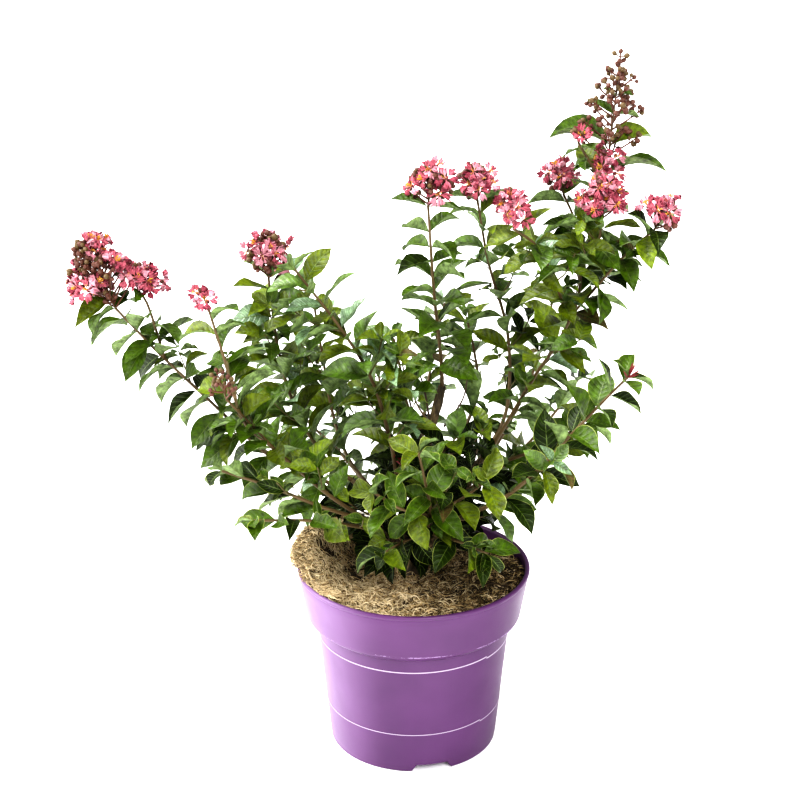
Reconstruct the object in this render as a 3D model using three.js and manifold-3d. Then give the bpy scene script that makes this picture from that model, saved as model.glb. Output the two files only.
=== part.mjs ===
// A crape myrtle shrub in a ten-litre nursery pot. Millimetres, +Z up. The origin is the centre of the pot's
// flat underside, +X is the plant's right and +Y its back.
//
// A short trunk stands on the potting mix and passes through a coir mulch disc. Woody boughs leave the trunk,
// and each leafy shoot grows on from a bough: one stem with opposite leaves, side twigs by a seeded rule, and
// a panicle of buds and blooms at its tip. Every leafy shoot keeps to its own space round its own stems.

import * as THREE from 'three';
import { mergeVertices } from 'three/addons/utils/BufferGeometryUtils.js';
import Module from 'manifold-3d';

const wasm = await Module();
wasm.setup();

// ---------------------------------------------------------------- driving dimensions

const GAP = 0.3; // clearance between solids that touch in life

const POT = {
  height: 228,
  rimRadius: 140,
  lipHeight: 6,
  collarHeight: 58,
  collarRadius: 130, // outside, at the collar's lower edge
  shoulderHeight: 11, // slope from the collar's lower edge in to the body
  bodyRadius: 117, // outside, just under the collar
  baseRadius: 101.5,
  wall: 2.6,
  floor: 4,
  segments: 36,
};
// A foot notch: a slot whose sides slant in by this much as they rise to its height.
const NOTCH = { count: 3, width: 50, slant: 6.5, height: 10, depth: 20, bearing: -77.5, skin: 3 };

const MIX_TOP = 200; // the potting mix fills the pot to here
const MULCH = {
  top: 213,
  radius: 130,
  hole: 8, // inside the trunk, which the disc is then cut clear of
  wave: 2,
  liftBearing: 160, // the disc curls up over the rim on this side
  liftHalfAngle: 62,
  lift: 35,
  overhang: 16,
  segments: 26,
};

const TRUNK = { top: 268, lean: [4, 9], radius: 13, tipRadius: 9, flare: 7, flareHeight: 22, sides: 10 };

const LEAF = {
  length: 60, // root to tip of a full-sized leaf
  widthShare: 0.5,
  widestAt: 0.45, // share of the length
  thickness: 1.1,
  fold: 0.22, // how far the blade's edges rise, as a share of its half width
  spacing: 31, // along the stem, from one pair to the next
};
const STEM = { radius: 2.3, tipRadius: 1.1, step: 36 };
const TWIG = { chance: 0.22, length: 62, radius: 1.2, tipRadius: 0.7, leafShare: 0.78, step: 36 };
const BLOOM = { radius: 14, cup: 4, neck: 9 };
const BUD = { radius: 5.6, neck: 8 };
const STALK = 0.8; // a flower stalk's radius
const SPACE_MARGIN = 2.5; // a leaf is nearer to its own stem than to any other by this much
const LIMB_MARGIN = 4; // and this far outside every bough
const GROUND_MARGIN = 9; // and this far above the rim and the mulch
const LIGHT = [-0.18, -0.3, 0.9]; // leaves turn their faces this way

// Each bough: how far up the trunk it leaves, and the points it passes through to its tip.
const BOUGHS = {
  bough_far_left: { from: 0.62, through: [[-38, -3, 292], [-72, -9, 320]], radius: [4.2, 3] },
  bough_front_left: { from: 0.4, through: [[-28, -32, 280], [-66, -54, 318]], radius: [4.2, 3] },
  bough_upper_left: { from: 0.85, through: [[-34, 18, 292], [-74, 34, 322]], radius: [3.8, 2.9] },
  bough_inner_left: { from: 0.97, through: [[-12, -8, 306], [-18, -18, 342]], radius: [3.8, 3] },
  bough_back_left: { from: 0.55, through: [[-32, 46, 274], [-58, 76, 300]], radius: [3.8, 2.9] },
  bough_old_centre: { from: 1, through: [[5, 13, 320], [14, 16, 370], [33, 21, 448]], radius: [6.4, 4.6] },
  bough_right: { from: 0.75, through: [[50, 20, 318], [92, 34, 362]], radius: [5.4, 4] },
  bough_low_right: { from: 0.35, through: [[32, -40, 292], [66, -72, 328]], radius: [4.2, 3] },
  bough_inner_right: { from: 0.9, through: [[34, 48, 314], [52, 78, 350]], radius: [3.8, 2.9] },
  bough_back: { from: 0.45, through: [[2, 58, 280], [6, 102, 314]], radius: [3.8, 2.9] },
  bough_back_right: { from: 0.5, through: [[44, 48, 278], [80, 88, 308]], radius: [4, 3] },
  bough_front: { from: 0.6, through: [[8, -30, 268], [13, -58, 292]], radius: [3.6, 2.8] },
};

// Each leafy shoot: the bough it grows from, how far along it, and the points its stem passes through.
// head: the panicle's axis from the stem's tip, its spread and how many blooms and buds it has. It narrows by
// its taper from its shoulder, a share of the axis, to its top.
// laterals: further stems of the same shoot, which leave the main stem at a share of its length.
const SHOOTS = {
  shoot_far_left: {
    bough: 'bough_far_left', at: 1, seed: 11,
    through: [[-96, -14, 338], [-165, -28, 378], [-235, -30, 450], [-290, -25, 505], [-338, -20, 558]],
    head: { axis: [-31, 8, 78], spread: 52, blooms: 7, buds: 10 },
    laterals: [
      {
        at: 0.78, through: [[-300, -26, 562], [-304, -16, 592]],
        head: { axis: [8, 0, 22], spread: 28, blooms: 4, buds: 1 },
      },
    ],
  },
  shoot_front_left: {
    bough: 'bough_front_left', at: 1, seed: 12,
    through: [[-100, -72, 352], [-160, -104, 424], [-190, -116, 462], [-206, -121, 530], [-222, -125, 594]],
    head: { axis: [-6, 0, 20], spread: 17, blooms: 2, buds: 1 },
    laterals: [
      {
        at: 0.42, through: [[-196, -128, 484], [-204, -134, 502]],
        head: { axis: [-12, -4, 36], spread: 24, blooms: 0, buds: 9 },
      },
    ],
  },
  shoot_low_left: {
    bough: 'bough_front_left', at: 0.88, seed: 13,
    through: [[-104, -88, 342], [-160, -112, 378], [-214, -122, 402]],
  },
  shoot_lowest_left: {
    bough: 'bough_front_left', at: 0.6, seed: 14,
    through: [[-70, -86, 318], [-118, -132, 346], [-176, -166, 362]],
  },
  shoot_upper_left: {
    bough: 'bough_upper_left', at: 1, seed: 15,
    through: [[-102, 44, 340], [-142, 72, 398], [-163, 84, 475], [-172, 86, 560]],
    head: { axis: [0, 0, 54], spread: 31, blooms: 5, buds: 5 },
  },
  shoot_inner_left: {
    bough: 'bough_inner_left', at: 1, seed: 16,
    through: [[-22, -24, 362], [-27, -34, 398], [-46, -46, 475], [-78, -50, 537], [-134, -52, 616]],
  },
  shoot_back_left: {
    bough: 'bough_back_left', at: 1, seed: 17,
    through: [[-82, 104, 324], [-100, 130, 370], [-112, 150, 435], [-122, 160, 500]],
  },
  shoot_thin_left: {
    bough: 'bough_back_left', at: 0.85, seed: 18,
    through: [[-96, 140, 318], [-138, 192, 340], [-172, 226, 392]],
  },
  shoot_centre: {
    bough: 'bough_old_centre', at: 1, seed: 33,
    through: [[30, 14, 498], [22, 8, 570], [15, 5, 662]],
    head: { axis: [3, 0, 50], spread: 34, blooms: 6, buds: 3 },
  },
  shoot_centre_left: {
    bough: 'bough_old_centre', at: 0.5, seed: 20,
    through: [[-2, 62, 372], [-12, 84, 425], [-24, 92, 482]],
  },
  shoot_centre_right: {
    bough: 'bough_right', at: 0.84, seed: 21,
    through: [[108, 66, 386], [116, 88, 434], [112, 112, 492], [90, 130, 566], [76, 136, 640]],
    head: { axis: [-4, 0, 44], spread: 30, blooms: 5, buds: 4 },
  },
  shoot_right: {
    bough: 'bough_right', at: 1, seed: 22,
    through: [
      [118, 32, 412], [142, 22, 462], [167, 8, 510], [186, 0, 562],
      [190, 0, 612], [205, 0, 655], [211, 4, 722],
    ],
    head: { axis: [13, 4, 124], spread: 46, taper: 0.84, shoulder: 0.35, blooms: 3, buds: 24 },
    laterals: [
      {
        at: 0.52, through: [[140, -42, 636], [116, -56, 676]],
        head: { axis: [-14, 0, 34], spread: 26, blooms: 4, buds: 1 },
      },
      {
        at: 0.66, through: [[184, 36, 640], [172, 62, 668]],
        head: { axis: [-10, 6, 40], spread: 21, blooms: 4, buds: 1 },
      },
      {
        at: 0.7, through: [[203, -30, 638], [206, -40, 664]],
        head: { axis: [4, -2, 54], spread: 32, blooms: 7, buds: 0 },
      },
      {
        at: 0.94, through: [[194, -8, 738], [183, -12, 754]],
        head: { axis: [-6, -2, 20], spread: 16, blooms: 1, buds: 1 },
      },
      {
        at: 0.54, through: [[230, -36, 622], [260, -62, 662]],
        head: { axis: [18, -6, 38], spread: 23, blooms: 4, buds: 1 },
      },
    ],
  },
  shoot_low_right: {
    bough: 'bough_low_right', at: 1, seed: 23,
    through: [[96, -100, 356], [130, -130, 400], [170, -150, 458], [205, -160, 504], [226, -162, 528]],
  },
  shoot_inner_right: {
    bough: 'bough_inner_right', at: 1, seed: 24,
    through: [[66, 96, 372], [80, 130, 402], [76, 158, 440], [66, 172, 482]],
  },
  shoot_mid_right: {
    bough: 'bough_right', at: 0.6, seed: 25,
    through: [[104, -14, 366], [148, -44, 398], [192, -66, 436]],
  },
  shoot_back: {
    bough: 'bough_back', at: 1, seed: 26,
    through: [[12, 138, 342], [18, 178, 386], [28, 212, 430], [40, 232, 480]],
  },
  shoot_low_back: {
    bough: 'bough_back', at: 0.7, seed: 27,
    through: [[-18, 132, 318], [-38, 188, 346], [-44, 232, 384]],
  },
  shoot_back_right: {
    bough: 'bough_back_right', at: 1, seed: 34,
    through: [[108, 124, 338], [140, 165, 384], [162, 196, 434], [176, 214, 490]],
  },
  shoot_low_back_right: {
    bough: 'bough_back_right', at: 0.7, seed: 29,
    through: [[122, 84, 330], [168, 104, 374], [204, 116, 424]],
  },
  shoot_front: {
    bough: 'bough_front', at: 1, seed: 30,
    through: [[18, -100, 342], [12, -128, 388], [4, -142, 432]],
    laterals: [
      { at: 0.03, through: [[-12, -98, 304], [-36, -122, 300]] },
      { at: 0.05, through: [[50, -98, 304], [82, -122, 300]] },
      { at: 0.34, through: [[-16, -122, 356], [-46, -134, 382]] },
      { at: 0.38, through: [[50, -120, 366], [80, -130, 394]] },
    ],
  },
};

const COLOURS = {
  pot: [0x9a4fc0, 0.42],
  mix: [0x2d211a, 0.95],
  mulch: [0xa98b5c, 0.95],
  bark: [0x7a5a43, 0.85],
  leaves: [0x3f7f2f, 0.55],
};

// ---------------------------------------------------------------- small tools

const UP = new THREE.Vector3(0, 0, 1);
const RIGHT = new THREE.Vector3(1, 0, 0);
const ORIGIN = new THREE.Vector3(0, 0, 0);
const vec = (p) => new THREE.Vector3(...p);
const radians = THREE.MathUtils.degToRad;
const lerp = THREE.MathUtils.lerp;

// A seeded generator of even random numbers from 0 to 1 (mulberry32).
function generator(seed) {
  let state = seed >>> 0;
  return () => {
    state = (state + 0x6d2b79f5) >>> 0;
    let t = state;
    t = Math.imul(t ^ (t >>> 15), t | 1);
    t ^= t + Math.imul(t ^ (t >>> 7), t | 61);
    return ((t ^ (t >>> 14)) >>> 0) / 4294967296;
  };
}

function geometryOf(points, faces) {
  const geometry = new THREE.BufferGeometry();
  const coordinates = points.flatMap((p) => [p.x, p.y, p.z]);
  geometry.setAttribute('position', new THREE.Float32BufferAttribute(coordinates, 3));
  geometry.setIndex(faces.flat());
  return geometry;
}

// A closed geometry as a solid for joining and cutting.
function solidOf(geometry) {
  const bare = geometry.clone();
  bare.deleteAttribute('normal');
  bare.deleteAttribute('uv');
  const merged = mergeVertices(bare, 1e-4);
  return new wasm.Manifold(new wasm.Mesh({
    numProp: 3,
    vertProperties: new Float32Array(merged.attributes.position.array),
    triVerts: new Uint32Array(merged.index.array),
  }));
}

// Many solids as one, with any loose scrap dropped.
function fuse(solids) {
  const bodies = wasm.Manifold.union(solids).decompose();
  return bodies.reduce((a, b) => (b.volume() > a.volume() ? b : a));
}

function meshOf(name, solid, [colour, roughness]) {
  const { vertProperties, triVerts } = solid.getMesh();
  const geometry = new THREE.BufferGeometry();
  geometry.setAttribute('position', new THREE.BufferAttribute(new Float32Array(vertProperties), 3));
  geometry.setIndex(new THREE.BufferAttribute(new Uint32Array(triVerts), 1));
  geometry.computeVertexNormals();
  const material = new THREE.MeshStandardMaterial({ color: colour, roughness, metalness: 0 });
  const mesh = new THREE.Mesh(geometry, material);
  mesh.name = name;
  return mesh;
}

// ---------------------------------------------------------------- stems

// A smooth line through the points, as even steps of about the given length.
function stepsThrough(points, step) {
  const curve = new THREE.CatmullRomCurve3(points, false, 'catmullrom', 0.5);
  return curve.getSpacedPoints(Math.max(2, Math.round(curve.getLength() / step)));
}

// A level direction square to a tangent, also for one that points straight up.
function levelSide(tangent) {
  return Math.abs(tangent.z) > 0.98 ? RIGHT.clone() : UP.clone().cross(tangent).normalize();
}

// At each point of a line: its tangent, a level side direction and the direction that faces up.
function framesAlong(points) {
  let side = null;
  return points.map((point, i) => {
    const before = points[Math.max(0, i - 1)];
    const after = points[Math.min(points.length - 1, i + 1)];
    const tangent = after.clone().sub(before).normalize();
    side = side ? side.clone() : levelSide(tangent);
    side.addScaledVector(tangent, -side.dot(tangent)).normalize();
    return { point, tangent, side, up: tangent.clone().cross(side) };
  });
}

// The frame at a share of the line's length, from 0 to 1.
function frameAt(frames, share) {
  const place = Math.min(Math.max(share, 0), 1) * (frames.length - 1);
  const i = Math.min(Math.floor(place), frames.length - 2);
  const between = (key) => frames[i][key].clone().lerp(frames[i + 1][key], place - i);
  const facing = (key) => between(key).normalize();
  return { point: between('point'), tangent: facing('tangent'), side: facing('side'), up: facing('up') };
}

// The point at a radius and an angle round a centre, square to a frame.
function around(frame, centre, radius, angle) {
  const across = centre.clone().addScaledVector(frame.side, radius * Math.cos(angle));
  return across.addScaledVector(frame.up, radius * Math.sin(angle));
}

// A closed tube along the frames, whose radius runs from one end's to the other's.
function taperedTube(frames, radius, tipRadius, sides, flareAt = () => 0) {
  const points = [];
  const faces = [];
  frames.forEach((f, i) => {
    const r = lerp(radius, tipRadius, i / (frames.length - 1)) + flareAt(f.point);
    for (let k = 0; k < sides; k++) {
      const a = (2 * Math.PI * k) / sides + Math.PI / 2;
      points.push(around(f, f.point, r, a));
    }
  });
  const ring = (i, k) => i * sides + (k % sides);
  for (let i = 0; i + 1 < frames.length; i++) {
    for (let k = 0; k < sides; k++) {
      const [a, b, c, d] = [ring(i, k), ring(i, k + 1), ring(i + 1, k + 1), ring(i + 1, k)];
      faces.push([a, b, d], [b, c, d]);
    }
  }
  const last = frames.length - 1;
  for (let k = 1; k + 1 < sides; k++) {
    faces.push([ring(0, 0), ring(0, k + 1), ring(0, k)]);
    faces.push([ring(last, 0), ring(last, k), ring(last, k + 1)]);
  }
  return solidOf(geometryOf(points, faces));
}

// ---------------------------------------------------------------- pot, mix and mulch

function lathe(profile, segments) {
  const geometry = new THREE.LatheGeometry(profile.map(([r, z]) => new THREE.Vector2(r, z)), segments);
  return geometry.rotateX(Math.PI / 2);
}

// The pot's section from the axis outwards, moved in by an offset from its outer face.
function potSection(inset, floor, top) {
  const collarFoot = POT.height - POT.collarHeight;
  return [
    [0, floor],
    [POT.baseRadius - inset, floor],
    [POT.bodyRadius - inset, collarFoot - POT.shoulderHeight],
    [POT.collarRadius - inset, collarFoot],
    [lerp(POT.collarRadius, POT.rimRadius, (top - collarFoot) / POT.collarHeight) - inset, top],
    [0, top],
  ];
}

// The notches between the pot's feet as solids, with every face moved out by grow.
function notches(grow) {
  const top = NOTCH.height + grow;
  const deep = NOTCH.depth + grow;
  const halfWidth = (z) => NOTCH.width / 2 + grow - (NOTCH.slant * z) / NOTCH.height;
  const corners = [[-1, -top], [1, -top], [1, top], [-1, top]];
  const outline = new THREE.Shape(corners.map(([side, z]) => new THREE.Vector2(side * halfWidth(z), z)));
  const cuts = [];
  for (let i = 0; i < NOTCH.count; i++) {
    const slot = new THREE.ExtrudeGeometry(outline, { depth: 2 * deep, bevelEnabled: false });
    slot.rotateX(Math.PI / 2).rotateZ(Math.PI / 2).translate(POT.baseRadius + 2 - deep, 0, 0);
    cuts.push(solidOf(slot.rotateZ(radians(NOTCH.bearing + (360 * i) / NOTCH.count))));
  }
  return wasm.Manifold.union(cuts);
}

function makePot() {
  const lip = lathe([
    [0, POT.height - POT.lipHeight],
    [POT.rimRadius, POT.height - POT.lipHeight],
    [POT.rimRadius, POT.height],
    [0, POT.height],
  ], POT.segments);
  const body = solidOf(lathe(potSection(0, 0, POT.height - POT.lipHeight), POT.segments));
  const outside = body.add(solidOf(lip)).subtract(notches(0));
  const inside = solidOf(lathe(potSection(POT.wall, POT.floor, POT.height + 1), POT.segments));
  return outside.subtract(inside.subtract(notches(NOTCH.skin)));
}

function makeMix() {
  const fill = solidOf(lathe(potSection(POT.wall + GAP, POT.floor + GAP, MIX_TOP), POT.segments));
  return fill.subtract(notches(NOTCH.skin + GAP));
}

// How far the mulch curls up at a bearing: 0 where it lies flat, 1 in the middle of the lifted side.
function curlAt(bearing) {
  const turned = bearing * THREE.MathUtils.RAD2DEG - MULCH.liftBearing;
  const off = THREE.MathUtils.euclideanModulo(turned + 180, 360) - 180;
  return THREE.MathUtils.smoothstep(MULCH.liftHalfAngle - Math.abs(off), 0, MULCH.liftHalfAngle * 0.6);
}

// How far the disc is raised at a radius, where it curls up by a share of the whole lift.
const liftAt = (r, curl) => MULCH.lift * curl * THREE.MathUtils.smoothstep(r, 62, 128);

// A wavy disc with a hole for the trunk, whose edge curls up over the rim on one side.
function makeMulch() {
  const rings = [MULCH.hole, 58, 88, 112, 1]; // the last ring is the edge, in shares of its own radius
  const points = [];
  for (let k = 0; k < MULCH.segments; k++) {
    const a = (2 * Math.PI * k) / MULCH.segments;
    const curl = curlAt(a);
    const edge = MULCH.radius + MULCH.overhang * THREE.MathUtils.smoothstep(curl, 0.9, 1);
    for (const ring of rings) {
      const r = ring === 1 ? edge : ring;
      const wave = MULCH.wave * Math.sin(3 * a + r / 17) * Math.cos(r / 23);
      const lift = liftAt(r, curl);
      points.push(new THREE.Vector3(r * Math.cos(a), r * Math.sin(a), MULCH.top + wave + lift));
      points.push(new THREE.Vector3(r * Math.cos(a), r * Math.sin(a), MIX_TOP + GAP + lift));
    }
  }
  const faces = [];
  const at = (k, i, under) => 2 * ((k % MULCH.segments) * rings.length + i) + under;
  const quad = (a, b, c, d) => faces.push([a, b, c], [a, c, d]);
  for (let k = 0; k < MULCH.segments; k++) {
    for (let i = 0; i + 1 < rings.length; i++) {
      quad(at(k, i, 0), at(k, i + 1, 0), at(k + 1, i + 1, 0), at(k + 1, i, 0));
      quad(at(k, i, 1), at(k + 1, i, 1), at(k + 1, i + 1, 1), at(k, i + 1, 1));
    }
    const e = rings.length - 1;
    quad(at(k, e, 0), at(k, e, 1), at(k + 1, e, 1), at(k + 1, e, 0));
    quad(at(k, 0, 0), at(k + 1, 0, 0), at(k + 1, 0, 1), at(k, 0, 1));
  }
  return solidOf(geometryOf(points, faces));
}

// ---------------------------------------------------------------- trunk and boughs

const trunkFoot = new THREE.Vector3(0, 4, MIX_TOP + GAP);
const trunkTop = new THREE.Vector3(TRUNK.lean[0], TRUNK.lean[1], TRUNK.top);
const limbs = {}; // name: { frames, radius, tipRadius }, for the trunk and every bough

limbs.trunk = {
  frames: [0, 0.12, 0.3, 0.6, 1].map((share) => ({
    point: trunkFoot.clone().lerp(trunkTop, share),
    tangent: UP.clone(),
    side: new THREE.Vector3(1, 0, 0),
    up: new THREE.Vector3(0, 1, 0),
  })),
  radius: TRUNK.radius,
  tipRadius: TRUNK.tipRadius,
};

const rootFlare = (point) => TRUNK.flare * Math.max(0, 1 - (point.z - MIX_TOP) / TRUNK.flareHeight) ** 2;

function trunkSolid(grow) {
  return taperedTube(limbs.trunk.frames, TRUNK.radius + grow, TRUNK.tipRadius + grow, TRUNK.sides, rootFlare);
}

for (const [name, bough] of Object.entries(BOUGHS)) {
  const start = trunkFoot.clone().lerp(trunkTop, bough.from);
  const frames = framesAlong(stepsThrough([start, ...bough.through.map(vec)], STEM.step));
  limbs[name] = { frames, radius: bough.radius[0], tipRadius: bough.radius[1] };
}

const BOUGH_SIDES = 6;

// The bough with every face moved out by grow, its ends too.
function boughSolid(name, grow) {
  const { frames, radius, tipRadius } = limbs[name];
  const ends = frames.map((f) => ({ ...f, point: f.point.clone() }));
  ends.at(-1).point.addScaledVector(ends.at(-1).tangent, grow);
  return taperedTube(ends, radius + grow, tipRadius + grow, BOUGH_SIDES);
}

// ---------------------------------------------------------------- spaces

// The distance from a point to the nearest stretch of a line.
function distanceTo(line, point) {
  let nearest = Infinity;
  const toPoint = new THREE.Vector3();
  const stretch = new THREE.Vector3();
  for (let i = 0; i + 1 < line.length; i++) {
    stretch.subVectors(line[i + 1], line[i]);
    toPoint.subVectors(point, line[i]);
    const share = Math.min(Math.max(toPoint.dot(stretch) / stretch.lengthSq(), 0), 1);
    nearest = Math.min(nearest, toPoint.addScaledVector(stretch, -share).length());
  }
  return nearest;
}

const nearestOf = (lines, point) => Math.min(...lines.map((line) => distanceTo(line, point)));

// The stems of a shoot, each with its frames and its panicle: the main stem first, then its laterals.
function stemsOf(shoot) {
  const onBough = frameAt(limbs[shoot.bough].frames, shoot.at);
  const main = framesAlong(stepsThrough([onBough.point, ...shoot.through.map(vec)], STEM.step));
  const stems = [{ frames: main, head: shoot.head, radius: STEM.radius }];
  for (const lateral of shoot.laterals ?? []) {
    const start = frameAt(main, lateral.at).point;
    const frames = framesAlong(stepsThrough([start, ...lateral.through.map(vec)], STEM.step));
    stems.push({ frames, head: lateral.head, radius: STEM.radius * 0.7 });
  }
  return stems;
}

// The lines of a shoot's stems, panicle axes included.
function linesOf(stems) {
  return stems.map(({ frames, head }) => {
    const line = frames.map((f) => f.point);
    return head ? [...line, line.at(-1).clone().add(vec(head.axis))] : line;
  });
}

const stemsByShoot = {};
const linesByShoot = {};
for (const [name, shoot] of Object.entries(SHOOTS)) {
  stemsByShoot[name] = stemsOf(shoot);
  linesByShoot[name] = linesOf(stemsByShoot[name]);
}

const woodLines = Object.values(limbs).map(({ frames, radius }) => ({
  line: frames.map((f) => f.point),
  radius,
}));

// The height of the mulch or the rim under a point, and of the open ground outside the pot.
function groundUnder(point) {
  const r = Math.hypot(point.x, point.y);
  if (r > POT.rimRadius + MULCH.overhang + GROUND_MARGIN) return 0;
  const mulch = MULCH.top + liftAt(r, curlAt(Math.atan2(point.y, point.x)));
  return Math.max(mulch, r > MULCH.radius - 10 ? POT.height : 0);
}

// True if all the points lie in the shoot's own space, clear of the wood, the rim and the mulch.
function keepsToSpace(name, points) {
  const othersNames = Object.keys(SHOOTS).filter((other) => other !== name);
  const others = othersNames.flatMap((other) => linesByShoot[other]);
  return points.every((p) => {
    if (p.z < groundUnder(p) + GROUND_MARGIN) return false;
    if (woodLines.some(({ line, radius }) => distanceTo(line, p) < radius + LIMB_MARGIN)) return false;
    return nearestOf(linesByShoot[name], p) + SPACE_MARGIN < nearestOf(others, p);
  });
}

// ---------------------------------------------------------------- leaves, twigs and panicles

// A leaf's corners: root, left, tip, right, and the crown and underside of its midrib.
function leafCorners({ root, along, up, length, droop }) {
  const basis = new THREE.Matrix4().makeBasis(along, up.clone().cross(along), up).setPosition(root);
  const place = (a, s, u) => new THREE.Vector3(a, s, u).applyMatrix4(basis);
  const half = (LEAF.widthShare * length) / 2;
  const widest = LEAF.widestAt * length;
  const fold = LEAF.fold * half;
  return {
    root: root.clone(),
    left: place(widest, half, fold),
    tip: place(length * Math.cos(droop), 0, -length * Math.sin(droop)),
    right: place(widest, -half, fold),
    crown: place(widest, 0, LEAF.thickness / 2),
    under: place(widest, 0, -LEAF.thickness / 2),
  };
}

function leafSolid(leaf) {
  const { root, left, tip, right, crown, under } = leafCorners(leaf);
  const faces = [[0, 4, 1], [1, 4, 2], [2, 4, 3], [3, 4, 0], [1, 5, 0], [2, 5, 1], [3, 5, 2], [0, 5, 3]];
  return solidOf(geometryOf([root, left, tip, right, crown, under], faces));
}

// Points over a leaf, close enough together to tell whether it leaves its space.
function leafProbes(leaf) {
  const { root, left, tip, right, crown } = leafCorners(leaf);
  const between = (a, b) => a.clone().lerp(b, 0.5);
  return [
    left, tip, right, crown,
    between(root, left), between(root, right), between(root, crown),
    between(left, tip), between(right, tip), between(crown, tip),
  ];
}

// True if the stretch from a to b passes through the triangle.
function pierces(a, b, [p, q, r]) {
  const edge1 = q.clone().sub(p);
  const edge2 = r.clone().sub(p);
  const along = b.clone().sub(a);
  const h = along.clone().cross(edge2);
  const det = edge1.dot(h);
  if (Math.abs(det) < 1e-9) return false;
  const toA = a.clone().sub(p);
  const u = toA.dot(h) / det;
  const qv = toA.cross(edge1);
  const v = along.dot(qv) / det;
  const t = edge2.dot(qv) / det;
  return u >= 0 && v >= 0 && u + v <= 1 && t >= 0 && t <= 1;
}

// A leaf's blade as its outline and midrib, and as two triangles.
function blade(leaf) {
  const { root, left, tip, right } = leafCorners(leaf);
  const edges = [[root, left], [left, tip], [tip, right], [right, root], [root, tip]];
  const shank = root.clone().lerp(tip, 0.12); // stands in for the root where its own stem is near
  return { root, shank, edges, triangles: [[root, left, tip], [root, tip, right]] };
}

const cuts = (stretches, triangles) => stretches.some(([p, q]) => triangles.some((t) => pierces(p, q, t)));

// True if a blade passes through another one, or through a stem, twig or stalk away from its own root.
function isCrossed(own, others, stretches) {
  const apart = others.filter((other) => own.root.distanceTo(other.root) > 0.5);
  const meets = (other) => cuts(own.edges, other.triangles) || cuts(other.edges, own.triangles);
  if (apart.some(meets)) return true;
  const away = own.triangles.map((triangle) => triangle.map((p) => (p === own.root ? own.shank : p)));
  return cuts(stretches, away);
}

// One leaf at a frame, at an angle round the stem. Its blade turns towards the sky and its tip droops.
function leafAt(frame, angle, length, [spreadDraw, droopDraw, rollDraw]) {
  const out = around(frame, ORIGIN, 1, angle);
  const spread = radians(46 + 22 * spreadDraw);
  const along = frame.tangent.clone().multiplyScalar(Math.cos(spread)).addScaledVector(out, Math.sin(spread));
  const up = frame.tangent.clone().multiplyScalar(Math.sin(spread)).addScaledVector(out, -Math.cos(spread));
  up.multiplyScalar(0.5).add(vec(LIGHT));
  up.addScaledVector(along, -up.dot(along)).normalize().applyAxisAngle(along, radians(50 * (rollDraw - 0.5)));
  return { root: frame.point, along, up, length, droop: radians(6 + 20 * droopDraw) };
}

const TURNS = [0, 40, -40, 80].map(radians); // a leaf that can't keep to its space is tried again at these

function lengthOf(frames) {
  return frames.slice(1).reduce((sum, f, i) => sum + f.point.distanceTo(frames[i].point), 0);
}

// Opposite pairs of leaves along a stem. Pairs on a level stem lie in two ranks, and cross on an upright one.
// Each new leaf joins those placed before it, and crosses neither them nor the shoot's stretches of wood.
function addLeaves(name, placed, stretches, { frames, from, size }, random) {
  const pairs = Math.max(1, Math.round((lengthOf(frames) * (1 - from)) / (LEAF.spacing * Math.sqrt(size))));
  for (let k = 0; k < pairs; k++) {
    const share = from + ((1 - from) * (k + 0.7)) / pairs;
    const frame = frameAt(frames, share);
    const cross = radians(lerp(12, 45, frame.tangent.z ** 2)) * (k % 2 ? 1 : -1);
    const taper = lerp(1, 0.72, Math.max(0, share - 0.6) / 0.4);
    for (const half of [0, Math.PI]) {
      const angle = half + cross + radians(16 * (random() - 0.5));
      const length = LEAF.length * size * taper * (0.85 + 0.3 * random());
      const draws = [random(), random(), random()];
      for (const turn of TURNS) {
        const leaf = leafAt(frame, angle + turn, length, draws);
        const own = blade(leaf);
        if (keepsToSpace(name, leafProbes(leaf)) && !isCrossed(own, placed.map((p) => p.blade), stretches)) {
          placed.push({ leaf, blade: own });
          break;
        }
      }
    }
  }
}

// Side twigs leave a stem at some of its nodes and carry smaller leaves.
function twigsAlong(name, frames, random) {
  const found = [];
  const nodes = Math.max(1, Math.round(lengthOf(frames) / LEAF.spacing));
  for (let k = 1; k < nodes * 0.8; k++) {
    const wanted = random() < TWIG.chance;
    const angle = (random() < 0.5 ? 0 : Math.PI) + radians(80 * (random() - 0.5));
    const length = TWIG.length * (0.7 + 0.6 * random());
    if (!wanted) continue;
    const frame = frameAt(frames, k / nodes);
    const out = around(frame, ORIGIN, 1, angle);
    const reach = (forward, sideways) => frame.point.clone()
      .addScaledVector(frame.tangent, forward * length)
      .addScaledVector(out, sideways * length);
    const bend = reach(0.3, 0.32);
    const tip = reach(0.68, 0.62).addScaledVector(UP, 0.12 * length);
    const twig = framesAlong(stepsThrough([frame.point.clone(), bend, tip], TWIG.step));
    if (keepsToSpace(name, twig.slice(1).map((f) => f.point))) found.push(twig);
  }
  return found;
}

// A ring of points round a stalk, at a distance back from its end.
function stalkRing(frame, end, count, back, radius) {
  const centre = end.clone().addScaledVector(frame.tangent, -back);
  return Array.from({ length: count }, (_, k) => around(frame, centre, radius, (2 * Math.PI * k) / count));
}

// A stalk from one point to another that widens to a bud of three sides.
function budSolid(foot, end) {
  const [frame] = framesAlong([foot, end]);
  const neck = stalkRing(frame, end, 3, BUD.neck, STALK);
  const girth = stalkRing(frame, end, 3, 0.2 * BUD.radius, BUD.radius);
  const points = [foot, ...neck, ...girth, end.clone().addScaledVector(frame.tangent, BUD.radius)];
  const faces = [];
  for (let k = 0; k < 3; k++) {
    const next = (k + 1) % 3;
    faces.push([0, 1 + next, 1 + k], [1 + k, 1 + next, 4 + k]);
    faces.push([1 + next, 4 + next, 4 + k], [4 + k, 4 + next, 7]);
  }
  return solidOf(geometryOf(points, faces));
}

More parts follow.
